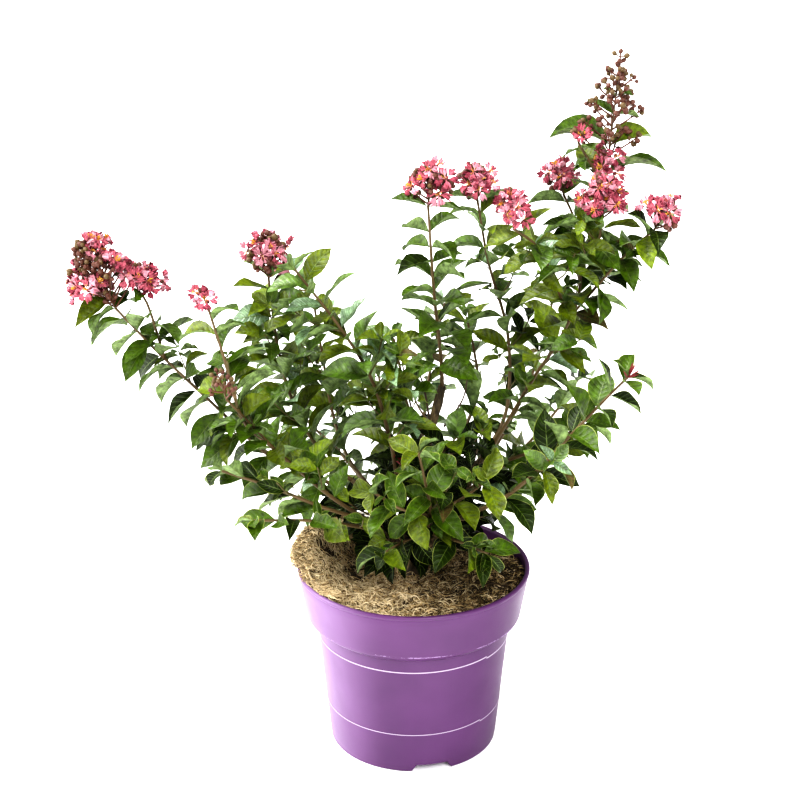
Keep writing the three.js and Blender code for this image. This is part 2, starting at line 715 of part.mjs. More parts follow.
// A stalk from one point to another that opens into a shallow cup of six petals.
function bloomSolid(foot, end) {
  const [frame] = framesAlong([foot, end]);
  const neck = stalkRing(frame, end, 3, BLOOM.neck, STALK);
  const petals = stalkRing(frame, end, 6, 0, BLOOM.radius);
  const points = [foot, ...neck, ...petals, end.clone().addScaledVector(frame.tangent, -BLOOM.cup)];
  const faces = [];
  for (let k = 0; k < 3; k++) {
    const [here, next] = [1 + k, 1 + ((k + 1) % 3)];
    const [a, b, c] = [2 * k, 2 * k + 1, (2 * k + 2) % 6].map((i) => 4 + i);
    faces.push([0, next, here], [here, b, a], [here, c, b], [here, next, c], [a, b, 10], [b, c, 10]);
  }
  return solidOf(geometryOf(points, faces));
}

const GOLDEN = Math.PI * (3 - Math.sqrt(5));

// A panicle: an axis with stalks all round it, blooms on the lower ones and buds on the upper.
function panicleStalks(frame, head, random) {
  const { taper = 0.72, shoulder = 0 } = head;
  const axis = vec(head.axis);
  const direction = axis.clone().normalize();
  const level = levelSide(direction);
  const across = direction.clone().cross(level);
  const count = head.blooms + head.buds;
  const phase = 2 * Math.PI * random();
  const stalks = [];
  for (let i = 0; i < count; i++) {
    const share = (i + 0.5) / count;
    const narrowing = (taper * Math.max(0, share - shoulder)) / (1 - shoulder);
    const reach = head.spread * (1 - narrowing) * (0.8 + 0.25 * random());
    const foot = frame.point.clone().addScaledVector(axis, share * 0.92);
    const isBloom = i < head.blooms;
    const width = isBloom ? BLOOM.radius : BUD.radius;
    for (const turn of TURNS) {
      const angle = phase + i * GOLDEN + turn;
      const out = level.clone().multiplyScalar(Math.cos(angle)).addScaledVector(across, Math.sin(angle));
      const end = foot.clone().addScaledVector(out, reach * 0.8).addScaledVector(direction, reach * 0.5);
      if (stalks.every((other) => other.end.distanceTo(end) > 0.8 * (other.width + width))) {
        stalks.push({ foot, end, isBloom, width });
        break;
      }
    }
  }
  return stalks;
}

// ---------------------------------------------------------------- shoots

const stretchesOf = (points) => points.slice(1).map((p, i) => [points[i], p]);

// Everything a shoot is made of: its stems and twigs, the stalks of its panicles and its leaves.
function growShoot(name) {
  const random = generator(SHOOTS[name].seed);
  const wood = [];
  const stalks = [];
  const axes = [];
  for (const { frames, head, radius } of stemsByShoot[name]) {
    wood.push({ frames, radius, tipRadius: STEM.tipRadius, from: 0.08, size: 1 });
    const { radius: twigRadius, tipRadius, leafShare } = TWIG;
    for (const twig of twigsAlong(name, frames, random)) {
      wood.push({ frames: twig, radius: twigRadius, tipRadius, from: 0.25, size: leafShare });
    }
    if (!head) continue;
    axes.push([frames.at(-1).point.clone(), frames.at(-1).point.clone().add(vec(head.axis))]);
    stalks.push(...panicleStalks(frames.at(-1), head, random));
  }
  const stretches = [...wood.flatMap(({ frames }) => stretchesOf(frames.map((f) => f.point))), ...axes];
  stretches.push(...stalks.map(({ foot, end }) => [foot, end]));
  const placed = [];
  for (const stem of wood) addLeaves(name, placed, stretches, stem, random);
  return { wood, axes, stalks, leaves: placed.map(({ leaf }) => leaf) };
}

function shootSolid(name) {
  const { wood, axes, stalks, leaves } = growShoot(name);
  const parts = [
    ...wood.map(({ frames, radius, tipRadius }) => taperedTube(frames, radius, tipRadius, 3)),
    ...axes.map((ends) => taperedTube(framesAlong(ends), STEM.tipRadius * 1.3, STALK, 3)),
    ...stalks.map(({ foot, end, isBloom }) => (isBloom ? bloomSolid : budSolid)(foot, end)),
    ...leaves.map(leafSolid),
  ];
  return fuse([wasm.Manifold.union(parts).subtract(boughSolid(SHOOTS[name].bough, GAP))]);
}

const root = new THREE.Group();
root.add(meshOf('pot', makePot(), COLOURS.pot));
root.add(meshOf('potting_mix', makeMix(), COLOURS.mix));
root.add(meshOf('mulch_disc', fuse([makeMulch().subtract(trunkSolid(GAP))]), COLOURS.mulch));
root.add(meshOf('trunk', trunkSolid(0), COLOURS.bark));
let taken = trunkSolid(GAP); // each bough is cut clear of the trunk and of the boughs before it
for (const name of Object.keys(BOUGHS)) {
  root.add(meshOf(name, fuse([boughSolid(name, 0).subtract(taken)]), COLOURS.bark));
  taken = taken.add(boughSolid(name, GAP));
}
for (const name of Object.keys(SHOOTS)) root.add(meshOf(name, shootSolid(name), COLOURS.leaves));

export default root;
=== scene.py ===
"""A crape myrtle shrub in a ten-litre nursery pot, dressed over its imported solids.

The shrub grows here by the same rule and on the same limbs as in the part's source, carried on to finer
twigs, petioles, ribs, petals and buds. Lengths in the tables are millimetres, as in that source, and every
mesh is scaled to metres as it is made. +Z is up, +X the plant's right and +Y its back.
"""

import math
from itertools import product

import bpy
import numpy as np
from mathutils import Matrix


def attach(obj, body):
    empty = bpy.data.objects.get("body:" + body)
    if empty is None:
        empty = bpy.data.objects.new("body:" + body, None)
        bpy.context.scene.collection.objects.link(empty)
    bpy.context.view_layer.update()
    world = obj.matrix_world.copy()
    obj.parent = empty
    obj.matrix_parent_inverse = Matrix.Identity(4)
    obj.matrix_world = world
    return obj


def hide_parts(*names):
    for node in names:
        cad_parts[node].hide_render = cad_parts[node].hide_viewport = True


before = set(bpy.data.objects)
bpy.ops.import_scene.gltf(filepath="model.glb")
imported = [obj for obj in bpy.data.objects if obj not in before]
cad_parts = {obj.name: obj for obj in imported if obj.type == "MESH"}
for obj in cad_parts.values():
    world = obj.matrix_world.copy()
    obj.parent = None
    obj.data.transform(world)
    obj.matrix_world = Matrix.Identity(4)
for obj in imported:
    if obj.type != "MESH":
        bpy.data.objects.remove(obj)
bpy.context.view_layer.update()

MM = 0.001
UP = np.array([0.0, 0.0, 1.0])
RIGHT = np.array([1.0, 0.0, 0.0])
GOLDEN = math.pi * (3 - math.sqrt(5))

# ------------------------------------------------------------------ driving dimensions

POT = dict(height=228, rim_radius=140, lip_height=6, lip_radius=3, collar_height=58, collar_radius=130,
           shoulder_height=11, body_radius=117, base_radius=101.5, wall=2.6, floor=4, columns=180)
NOTCH = dict(count=3, width=50, slant=6.5, height=10, depth=20, bearing=-77.5, skin=3)
LINES = dict(heights=(142, 53), widths=(1.6, 1.1), proud=0.35, seam_bearing=-42, step=2.2)
SCUFF = dict(height=170.5, reach=3.4)

MIX_TOP = 200.3
MULCH = dict(top=213, radius=130, hole=8, wave=2, lift_bearing=160, lift_half_angle=62, lift=35,
             lifts_over=(62, 128), overhang=16, rings=46, columns=180)
# A dent by the mat's lifted edge. Fibres keep out of its middle, so that the dark mat there is painted shade.
HOLLOW = dict(place=(-105, 20), radius=12, depth=18, open=8.4)
SLITS = (((3, -56), (46, -58)), ((74, -28), (110, -31)))
SLIT_HALF_WIDTH = 1.5
FIBRE = dict(count=17000, length=(8, 25), width=(0.6, 1.15), curl=(0.8, 4.2))
FRINGE = dict(count=3200, length=(9, 25), inset=(0.5, 7), sink=(0, 6), fall=(-0.25, 0.9), overhang=9)

TRUNK = dict(foot=(0, 4, 200.3), top=(4, 9, 268), radius=13, tip_radius=9, flare=7, flare_height=22)

LEAF = dict(length=52, width_share=0.52, widest_at=0.45, fold=0.34, spacing=21)
# How a leaf stands, in degrees: its angle from its stem, how far it rolls to either side, and its droop.
STANCE = dict(angle=(46, 76), roll=34, droop=(2, 20))
# How a leaf is bent, folded and twisted in degrees, how high its margin waves, and its share of full width.
BLADE = dict(bend=(16, 70), fold=(14, 48), twist=25, wave=(0.9, 2.4), width=(0.92, 1.22))
# The share of leaves with a bite out of their left margin, and how long and deep it is as shares of the leaf.
BITE = dict(share=0.24, reach=0.09, depth=0.45)
# How far a pair of leaves stands crosswise on a level stem and on a rising one and how far each strays, in
# degrees, and how small the outer pairs and the last one are.
PAIR = dict(cross=(14, 46), stray=16, outer=0.86, last=0.7)
STEM = dict(radius=2.5, tip_radius=1.4, lateral=0.7, step=9)
FLORET = dict(radius=13, petals=6, claw=0.34, cup_radius=2.3, cup_depth=1.6)
STAMEN = dict(count=11, length=6.5, lean=0.7, width=0.75)
BUD = dict(radius=3.5, ribs=6, gap=6.5, stalk=(5.5, 8.5))
SEPAL = dict(count=11, length=(12, 20))

# The radii of each kind of thin tube, from foot to tip, and its number of sides.
AXIS_TUBE = (1.4, 0.6, 6)
STALK_TUBE = (1.15, 0.85, 5)
BUD_STALK_TUBE = (0.7, 0.65, 5)
DEAD_TWIG_TUBE = (1.5, 0.8, 7)
TRUNK_SIDES, BOUGH_SIDES, STEM_SIDES = 28, 14, 7
STALK_SAG = 1.2

# The middle of the shrub, whose leaves take the shade kind as painted shade.
PAINTED_SHADE_HEART = dict(place=(6, 8, 290), reach=104)
# How far leaves keep from other shoots' spaces, from limbs, and from the mulch and the rim.
SPACE_MARGIN = 2.5
LIMB_MARGIN = 4
GROUND_MARGIN = 9
# Where leaves and flowers turn to.
LIGHT = (-0.18, -0.3, 0.9)

# Seeds of the random draws. A shoot has its own, a limb's bark takes the limb's number, and a bough's twigs
# and knots add their bough's number to these.
SEEDS = dict(boughs=500, knots=40, dead_twigs=5, fibres=7, flowers=3)

# Each kind of twig: how often and how far apart it leaves its stem, its size, and the share of it below its
# leaves.
TWIG = dict(chance=0.22, spacing=31, length=60, radius=1.1, tip_radius=0.6, leaf=0.76, bare=0.25)
BOUGH_TWIG = dict(chance=0.7, spacing=17, length=66, radius=1.2, tip_radius=0.7, leaf=0.92, bare=0.3)
SPUR = dict(chance=0.3, spacing=21, length=20, radius=0.7, tip_radius=0.45, leaf=0.5, bare=0.4)

# Each bough: how far up the trunk it leaves, the points it passes through to its tip, and its radii.
BOUGHS = {
    "bough_far_left": (0.62, [(-38, -3, 292), (-72, -9, 320)], (4.2, 3)),
    "bough_front_left": (0.4, [(-28, -32, 280), (-66, -54, 318)], (4.2, 3)),
    "bough_upper_left": (0.85, [(-34, 18, 292), (-74, 34, 322)], (3.8, 2.9)),
    "bough_inner_left": (0.97, [(-12, -8, 306), (-18, -18, 342)], (3.8, 3)),
    "bough_back_left": (0.55, [(-32, 46, 274), (-58, 76, 300)], (3.8, 2.9)),
    "bough_old_centre": (1, [(5, 13, 320), (14, 16, 370), (33, 21, 448)], (6.4, 4.6)),
    "bough_right": (0.75, [(50, 20, 318), (92, 34, 362)], (5.4, 4)),
    "bough_low_right": (0.35, [(32, -40, 292), (66, -72, 328)], (4.2, 3)),
    "bough_inner_right": (0.9, [(34, 48, 314), (52, 78, 350)], (3.8, 2.9)),
    "bough_back": (0.45, [(2, 58, 280), (6, 102, 314)], (3.8, 2.9)),
    "bough_back_right": (0.5, [(44, 48, 278), (80, 88, 308)], (4, 3)),
    "bough_front": (0.6, [(8, -30, 268), (13, -58, 292)], (3.6, 2.8)),
}


# What a shoot is like where its own row doesn't say: its leaves' size, how many twigs it has, whether its
# leaves have pale margins, how low they may hang, the tone they are drawn towards, where spent blooms stand,
# and how flat, drooping and dense its leaves are and which way they face.
PLAIN_SHOOT = dict(leaf=1, twigs=1, margins=False, lowest=0, tone=None, spent=(), head=None, laterals=(),
                   flat=0, hang=0, dense=1, light=LIGHT)


def shoot(bough, at, seed, through, **more):
    """A leafy shoot from a share along its bough, with the points that its stem passes through."""
    return dict(PLAIN_SHOOT, bough=bough, at=at, seed=seed, through=through, **more)


def side_shoot(at, through, head=None, leaf=None):
    """A lateral that leaves the main stem at a share of its length."""
    return dict(at=at, through=through, head=head, leaf=leaf)


def panicle(axis, spread, florets, buds, side, turn=0.6, mix=0.7, taper=0.72, shoulder=0, bud=1, close=1,
            clear=0.55, bracts=()):
    """A panicle at a stem's tip: its axis and spread, how many florets and bud clusters it has, the side
    that its florets open on, how far they turn to it and how mixed they stand. It narrows by taper above its
    shoulder, bud and close scale its buds and its florets' stalks, clear is the share of its spread that
    leaves keep out of, and bracts are its own pairs of leaves, each at a share of the axis and of a size."""
    return dict(axis=axis, spread=spread, florets=florets, buds=buds, side=side, turn=turn, mix=mix,
                taper=taper, shoulder=shoulder, bud=bud, close=close, clear=clear, bracts=bracts)


SHOOTS = {
    "shoot_far_left": shoot(
        "bough_far_left", 1, 11, leaf=1.12, twigs=1.6, hang=0.5, dense=1.2, tone=0.48,
        through=[(-96, -14, 338), (-165, -28, 378), (-235, -30, 450), (-290, -25, 505), (-338, -20, 558)],
        head=panicle((-31, 8, 78), 58, 23, 30, (0.8, 0.1, -0.3), mix=2.4, bud=0.88, clear=0.4,
                     bracts=((0, 1.1), (0.14, 1))),
        laterals=[
            side_shoot(0.78, [(-300, -26, 562), (-311, -18, 578)],
                       panicle((10, 0, 20), 33, 9, 4, (1, -0.4, -0.4), clear=1.05, bracts=((0, 0.7),))),
        ]),
    "shoot_front_left": shoot(
        "bough_front_left", 1, 12, twigs=2.2, hang=0.15, dense=1.2, tone=0.55,
        through=[(-100, -72, 352), (-160, -104, 424), (-190, -116, 462), (-206, -121, 530),
                 (-222, -125, 594)],
        head=panicle((-8, 0, 20), 20, 2, 1, (-0.4, -1, 0.4), turn=1.6, clear=0.8),
        laterals=[
            side_shoot(0.42, [(-196, -134, 482), (-203, -150, 498)],
                       panicle((-10, -4, 36), 31, 0, 9, (0, 0, 1), bud=0.72, clear=1.1)),
        ]),
    "shoot_low_left": shoot(
        "bough_front_left", 0.88, 13, margins=True, lowest=316, twigs=1.6,
        through=[(-104, -88, 342), (-160, -112, 378), (-214, -122, 402)]),
    "shoot_lowest_left": shoot(
        "bough_front_left", 0.6, 14, margins=True, lowest=316, twigs=1.5,
        through=[(-70, -86, 318), (-118, -132, 346), (-176, -166, 362)]),
    "shoot_upper_left": shoot(
        "bough_upper_left", 1, 15, twigs=2.4, hang=0.15, dense=1.25, tone=0.72,
        through=[(-102, 44, 340), (-142, 72, 398), (-163, 84, 475), (-172, 86, 560)],
        head=panicle((0, 0, 56), 40, 11, 18, (0.5, -0.2, -0.4), mix=2.2, turn=1.1, bracts=((0, 0.8),))),
    "shoot_inner_left": shoot(
        "bough_inner_left", 1, 16, spent=(0.12,), twigs=2.6, dense=1.3, tone=0.66,
        through=[(-22, -24, 362), (-27, -34, 398), (-46, -46, 475), (-78, -50, 537), (-134, -52, 616)]),
    "shoot_back_left": shoot(
        "bough_back_left", 1, 17, twigs=2.4, dense=1.2, tone=0.72,
        through=[(-82, 104, 324), (-100, 130, 370), (-112, 150, 435), (-122, 160, 500)]),
    "shoot_thin_left": shoot(
        "bough_back_left", 0.85, 18, [(-96, 140, 318), (-138, 192, 340), (-172, 226, 392)]),
    "shoot_centre": shoot(
        "bough_old_centre", 1, 33, leaf=1.1, flat=14, dense=1.25, tone=0.4, light=(-0.12, -0.06, 1),
        through=[(30, 14, 498), (22, 8, 570), (15, 5, 670)],
        head=panicle((3, 0, 44), 40, 6, 16, (-0.3, -1, -0.1), mix=1.6, turn=1.1, bracts=((0, 0.75),))),
    "shoot_centre_left": shoot(
        "bough_old_centre", 0.5, 20, [(-2, 62, 372), (-12, 84, 425), (-24, 92, 482)]),
    "shoot_centre_right": shoot(
        "bough_right", 0.84, 21, leaf=1.12, flat=6, dense=1.05, tone=0.4, light=(-0.12, -0.06, 1),
        through=[(108, 66, 386), (116, 88, 434), (112, 112, 492), (90, 130, 566), (76, 136, 640)],
        head=panicle((-4, 0, 46), 37, 6, 15, (0.1, -1, -0.1), mix=1.6, turn=1.1, bracts=((0, 0.8),))),
    "shoot_right": shoot(
        "bough_right", 1, 22, twigs=1.2, flat=12, dense=0.92, tone=0.4, light=(-0.1, -0.1, 1),
        through=[(118, 32, 412), (142, 22, 462), (167, 8, 510), (186, 0, 562), (190, 0, 612), (205, 0, 655),
                 (213, 3, 700)],
        head=panicle((11, 5, 144), 52, 7, 31, (-0.3, -0.6, -2.5), taper=0.88, shoulder=0.46, bud=0.84,
                     close=0.42, bracts=((0.05, 1.25), (0.28, 1.32), (0.52, 0.6), (0.66, 0.4))),
        laterals=[
            side_shoot(0.54, [(140, -42, 630), (108, -56, 662)],
                       panicle((-5, 0, 44), 26, 6, 7, (-0.3, -1, 0.2), turn=1)),
            side_shoot(0.68, [(184, 36, 640), (172, 62, 668)],
                       panicle((-10, 6, 36), 30, 6, 5, (-0.3, -1, 0.9), turn=2.2, bracts=((0, 0.8),))),
            side_shoot(0.72, [(203, -30, 638), (206, -40, 664)],
                       panicle((2, -2, 52), 35, 12, 9, (0, -1, 0))),
            side_shoot(0.98, [(192, -8, 726), (180, -12, 746)],
                       panicle((-5, -2, 16), 12, 1, 1, (-0.3, -1, 0.2), turn=1.6), leaf=0.5),
            side_shoot(0.56, [(230, -36, 622), (260, -62, 662)],
                       panicle((18, -6, 32), 28, 6, 6, (0, -0.5, 1), bracts=((0, 1),))),
        ]),
    "shoot_low_right": shoot(
        "bough_low_right", 1, 23, margins=True, spent=(1,), twigs=0.5,
        through=[(96, -100, 356), (130, -130, 400), (170, -150, 458), (205, -160, 504), (226, -162, 528)]),
    "shoot_inner_right": shoot(
        "bough_inner_right", 1, 24, [(66, 96, 372), (80, 130, 402), (76, 158, 440), (66, 172, 482)]),
    "shoot_mid_right": shoot(
        "bough_right", 0.6, 25, [(104, -14, 366), (148, -44, 398), (192, -66, 436)], twigs=0.5),
    "shoot_back": shoot(
        "bough_back", 1, 26, [(12, 138, 342), (18, 178, 386), (28, 212, 430), (40, 232, 480)]),
    "shoot_low_back": shoot(
        "bough_back", 0.7, 27, [(-18, 132, 318), (-38, 188, 346), (-44, 232, 384)]),
    "shoot_back_right": shoot(
        "bough_back_right", 1, 34, [(108, 124, 338), (140, 165, 384), (162, 196, 434), (176, 214, 490)]),
    "shoot_low_back_right": shoot(
        "bough_back_right", 0.7, 29, [(122, 84, 330), (168, 104, 374), (204, 116, 424)]),
    "shoot_front": shoot(
        # its low tone deals its leaves more of the dark kinds, as painted shade under the crown
        "bough_front", 1, 30, margins=True, hang=0.2, tone=0.2,
        through=[(18, -100, 342), (12, -128, 388), (4, -142, 432)],
        laterals=[
            side_shoot(0.03, [(-12, -98, 304), (-36, -122, 300)]),
            side_shoot(0.05, [(50, -98, 304), (82, -122, 300)]),
            side_shoot(0.34, [(-16, -122, 356), (-46, -134, 382)]),
            side_shoot(0.38, [(50, -120, 366), (80, -130, 394)]),
        ]),
}

# Old bare twigs that stand up among the leaves, each from a point on a bough.
DEAD_TWIGS = (
    ((12, 16, 372), (-6, 30, 430), (-19, 40, 504)),
    ((20, 18, 396), (10, 28, 450), (-8, 30, 495)),
    ((36, 34, 392), (58, 62, 414), (65, 70, 443)),
)

# ------------------------------------------------------------------ small tools


def generator(seed):
    """A seeded generator of even random numbers from 0 to 1 (mulberry32)."""
    state = seed & 0xFFFFFFFF

    def draw():
        nonlocal state
        state = (state + 0x6D2B79F5) & 0xFFFFFFFF
        t = state
        t = ((t ^ (t >> 15)) * (t | 1)) & 0xFFFFFFFF
        t ^= (t + (((t ^ (t >> 7)) * (t | 61)) & 0xFFFFFFFF)) & 0xFFFFFFFF
        return ((t ^ (t >> 14)) & 0xFFFFFFFF) / 4294967296

    return draw


def unit(v):
    v = np.asarray(v, float)
    return v / np.maximum(np.linalg.norm(v, axis=-1, keepdims=True), 1e-12)


def lerp(a, b, share):
    return a + (b - a) * share


def smoothstep(x, low, high):
    t = np.clip((x - low) / (high - low), 0, 1)
    return t * t * (3 - 2 * t)


def level_side(tangent):
    """A level direction square to a tangent, also for one that points straight up."""
    return RIGHT.copy() if abs(tangent[2]) > 0.98 else unit(np.cross(UP, tangent))


def square_to(direction):
    """Two directions square to another and to each other, the first of them level."""
    side = level_side(direction)
    return side, np.cross(direction, side)


def around(side, up, angle):
    """The direction at an angle from a side towards an up."""
    return side * math.cos(angle) + up * math.sin(angle)


def smooth_points(points, step):
    """Even steps of about the given length along a Catmull-Rom curve through the points."""
    points = np.array(points, float)
    padded = np.vstack([2 * points[0] - points[1], points, 2 * points[-1] - points[-2]])
    t = np.linspace(0, 1, 24, endpoint=False)[:, None]
    spans = [
        0.5 * (2 * b + (c - a) * t + (2 * a - 5 * b + 4 * c - d) * t**2 + (3 * b - a - 3 * c + d) * t**3)
        for a, b, c, d in zip(padded, padded[1:], padded[2:], padded[3:])
    ]
    fine = np.vstack([*spans, points[-1:]])
    reach = np.concatenate([[0], np.cumsum(np.linalg.norm(np.diff(fine, axis=0), axis=1))])
    even = np.linspace(0, reach[-1], max(2, round(reach[-1] / step)) + 1)
    return np.column_stack([np.interp(even, reach, fine[:, k]) for k in range(3)])


def stretches_of(points):
    """The stretches between the points of a line, as (stretches, 2, 3)."""
    return np.stack([points[:-1], points[1:]], axis=1)


class Line:
    """A line of points, each with its tangent, a level side and the direction that faces up."""

    def __init__(self, points):
        self.points = np.array(points, float)
        self.shares = np.linspace(0, 1, len(self.points))
        before = np.vstack([self.points[:1], self.points[:-1]])
        after = np.vstack([self.points[1:], self.points[-1:]])
        self.tangents = unit(after - before)
        side = level_side(self.tangents[0])
        sides = []
        for tangent in self.tangents:
            side = unit(side - side @ tangent * tangent)
            sides.append(side)
        self.sides = np.array(sides)
        self.ups = np.cross(self.tangents, self.sides)
        self.length = np.linalg.norm(np.diff(self.points, axis=0), axis=1).sum()
        self.stretches = stretches_of(self.points)

    def at(self, share):
        """The point, tangent, side and up at a share of the line's length, from 0 to 1."""
        place = min(max(share, 0), 1) * (len(self.points) - 1)
        i = min(int(place), len(self.points) - 2)
        rows = (self.points, self.tangents, self.sides, self.ups)
        point, *directions = (lerp(row[i], row[i + 1], place - i) for row in rows)
        return point, *map(unit, directions)


def smooth_line(points, step):
    return Line(smooth_points(points, step))


# ------------------------------------------------------------------ meshes


class Shape:
    """The points and faces of one piece, gathered as grids before its object is made."""

    def __init__(self):
        self.points, self.faces, self.uvs, self.count = [], [], [], 0

    def add_grids(self, grids, closed=False, uvs=None, flipped=False):
        """grids is (number, rows, columns, 3). closed joins the last column to the first, and flipped turns
        each face over on the same diagonal, so that a sheet and its underside don't cross."""
        grids = np.asarray(grids, float)
        number, rows, columns = grids.shape[:3]
        faces = grid_faces(rows, columns, closed)
        if flipped:
            faces = faces[:, [0, 3, 2, 1]]
        size = rows * columns
        starts = self.count + np.arange(number) * size
        self.faces.append((faces + starts[:, None, None]).reshape(-1, 4))
        self.points.append(grids.reshape(-1, 3))
        self.uvs.append(np.zeros((number * size, 2)) if uvs is None else uvs.reshape(-1, 2))
        self.count += number * size


def grid_faces(rows, columns, closed):
    """Four-sided faces over a grid whose rows run along the surface and whose columns run to their right."""
    i, j = np.indices((rows - 1, columns if closed else columns - 1)).reshape(2, -1)
    k = (j + 1) % columns
    return np.stack([i * columns + j, i * columns + k, (i + 1) * columns + k, (i + 1) * columns + j], axis=1)


def add_object(name, data):
    added = bpy.data.objects.new(name, data)
    bpy.context.scene.collection.objects.link(added)
    return added


def make_piece(name, shape, material, slot="foliage", nodes=tuple(SHOOTS), sharp=None):
    """One object that stands for CAD nodes, smooth but for edges sharper than an angle in degrees."""
    points = np.vstack(shape.points) * MM
    faces = np.vstack(shape.faces)
    mesh = bpy.data.meshes.new(name)
    mesh.from_pydata(points.tolist(), [], faces.tolist())
    layer = mesh.uv_layers.new(name="UVMap")
    layer.data.foreach_set("uv", np.vstack(shape.uvs)[faces.ravel()].ravel().astype(np.float32))
    mesh.shade_smooth()
    if sharp:
        mesh.set_sharp_from_angle(angle=math.radians(sharp))
    mesh.materials.append(material)
    piece = add_object(name, mesh)
    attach(piece, "root")
    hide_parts(*nodes)


def ring(side, up, sides):
    """Directions all round a side and an up, as (..., sides, 3)."""
    angles = (2 * np.pi * np.arange(sides) / sides)[:, None]
    return side[..., None, :] * np.cos(angles) + up[..., None, :] * np.sin(angles)


def add_tube(shape, line, radius, tip_radius, sides, swell=0, relief=1):
    """A closed tapering tube along a line, thicker by swell at each of its points and scaled by a relief."""
    radii = (lerp(radius, tip_radius, line.shares) + swell)[:, None] * relief
    grid = line.points[:, None] + ring(line.sides, line.ups, sides) * radii[..., None]
    foot = np.repeat(line.points[:1][None], sides, axis=1)
    tip = np.repeat((line.points[-1:] + line.tangents[-1:] * tip_radius * 0.6)[None], sides, axis=1)
    shape.add_grids(np.concatenate([foot, grid, tip])[None], closed=True)


# ------------------------------------------------------------------ limbs and spaces

foot, top = (np.array(TRUNK[end], float) for end in ("foot", "top"))
trunk_line = Line(lerp(foot, top, np.linspace(0, 1, 18)[:, None]))
trunk_line.tangents[:], trunk_line.sides[:], trunk_line.ups[:] = UP, RIGHT, np.cross(UP, RIGHT)

limbs = {"trunk": (trunk_line, TRUNK["radius"], TRUNK["tip_radius"])}
for name, (share, through, radii) in BOUGHS.items():
    limbs[name] = (smooth_line([trunk_line.at(share)[0], *through], 5), *radii)


def stems_of(shoot):
    """The stems of a shoot as (line, panicle, radius, size of leaves): the main one, then its laterals."""
    start = limbs[shoot["bough"]][0].at(shoot["at"])[0]
    main = smooth_line([start, *shoot["through"]], STEM["step"])
    stems = [(main, shoot["head"], STEM["radius"], shoot["leaf"])]
    radius = STEM["radius"] * STEM["lateral"]
    for lateral in shoot["laterals"]:
        line = smooth_line([main.at(lateral["at"])[0], *lateral["through"]], STEM["step"])
        stems.append((line, lateral["head"], radius, lateral["leaf"] or shoot["leaf"]))
    return stems


stems_by_shoot = {name: stems_of(shoot) for name, shoot in SHOOTS.items()}


def own_stretches(stems):
    """A shoot's own lines as stretches of two points each, panicle axes included."""
    found = []
    for line, head, _, _ in stems:
        last = len(line.points) - 1
        found.append(stretches_of(line.points[[*range(0, last, 3), last]]))
        if head:
            found.append(np.array([[line.points[-1], line.points[-1] + head["axis"]]]))
    return np.concatenate(found)


stretches_by_shoot = {name: own_stretches(stems) for name, stems in stems_by_shoot.items()}
heads = [(line.points[-1], np.array(head["axis"], float), head["spread"] * head["clear"])
         for stems in stems_by_shoot.values() for line, head, _, _ in stems if head]
flower_stretches = np.array([[foot + 0.25 * axis, foot + axis] for foot, axis, _ in heads])
flower_radii = np.array([radius for _, _, radius in heads])
limb_stretches = np.concatenate([line.stretches[::2] for line, _, _ in limbs.values()])
limb_radii = np.concatenate([np.full(len(line.stretches[::2]), radius) for line, radius, _ in limbs.values()])


def distances(stretches, points):
    """The distance from each point to each stretch, as (points, stretches)."""
    start, along = stretches[:, 0], stretches[:, 1] - stretches[:, 0]
    to_point = points[:, None] - start[None]
    share = np.clip((to_point * along).sum(-1) / (along**2).sum(-1), 0, 1)
    return np.linalg.norm(to_point - share[..., None] * along, axis=-1)


def curl_at(bearing):
    """How far the mulch curls up at a bearing: 0 where it lies flat, 1 in the middle of the lifted side."""
    off = (np.degrees(bearing) - MULCH["lift_bearing"] + 180) % 360 - 180
    half = MULCH["lift_half_angle"]
    return smoothstep(half - np.abs(off), 0, half * 0.6)


def mulch_lift(r, bearing):
    return MULCH["lift"] * curl_at(bearing) * smoothstep(r, *MULCH["lifts_over"])


def mulch_top(r, bearing):
    wave = MULCH["wave"] * np.sin(3 * bearing + r / 17) * np.cos(r / 23)
    return MULCH["top"] + wave + mulch_lift(r, bearing)


def mulch_edge(bearing):
    return MULCH["radius"] + MULCH["overhang"] * smoothstep(curl_at(bearing), 0.9, 1)


def ground_under(points):
    """The height of the mulch or the rim under each point, and of the open ground outside the pot."""
    r = np.hypot(points[:, 0], points[:, 1])
    mulch = MULCH["top"] + mulch_lift(r, np.arctan2(points[:, 1], points[:, 0]))
    inside = np.maximum(mulch, np.where(r > MULCH["radius"] - 10, POT["height"], 0))
    return np.where(r > POT["rim_radius"] + MULCH["overhang"] + GROUND_MARGIN, 0, inside)


def keeps_off_flowers(points):
    """True if all the points stay out of the flowers round every panicle's axis."""
    return bool((distances(flower_stretches, points) > flower_radii).all())


def keeps_to_space(name, points):
    """True if all the points are clear of limbs, rim and mulch and, for a shoot, lie in its own space."""
    if (points[:, 2] < ground_under(points) + GROUND_MARGIN).any():
        return False
    if (distances(limb_stretches, points) < limb_radii + LIMB_MARGIN).any():
        return False
    if name not in SHOOTS:
        return True
    if (points[:, 2] < SHOOTS[name]["lowest"]).any():
        return False
    own = distances(stretches_by_shoot[name], points).min(1)
    others = np.concatenate([rest for other, rest in stretches_by_shoot.items() if other != name])
    return bool((own + SPACE_MARGIN < distances(others, points).min(1)).all())


# ------------------------------------------------------------------ where leaves, twigs and flowers grow


def blade_corners(leaf):
    """A leaf's root, left, tip and right corners."""
    root, along, up, length = leaf["root"], leaf["along"], leaf["up"], leaf["length"]
    side = np.cross(up, along)
    half = LEAF["width_share"] * length / 2
    middle = root + along * length * LEAF["widest_at"] + up * LEAF["fold"] * half * 0.6
    tip = root + length * (along * math.cos(leaf["droop"]) - up * math.sin(leaf["droop"]))
    return np.array([root, middle + side * half, tip, middle - side * half])


# A blade's edges with its midrib, and its two halves, by the numbers of its corners.
EDGES = np.array([[0, 1], [1, 2], [2, 3], [3, 0], [0, 2]])
HALVES = np.array([[0, 1, 2], [0, 2, 3]])


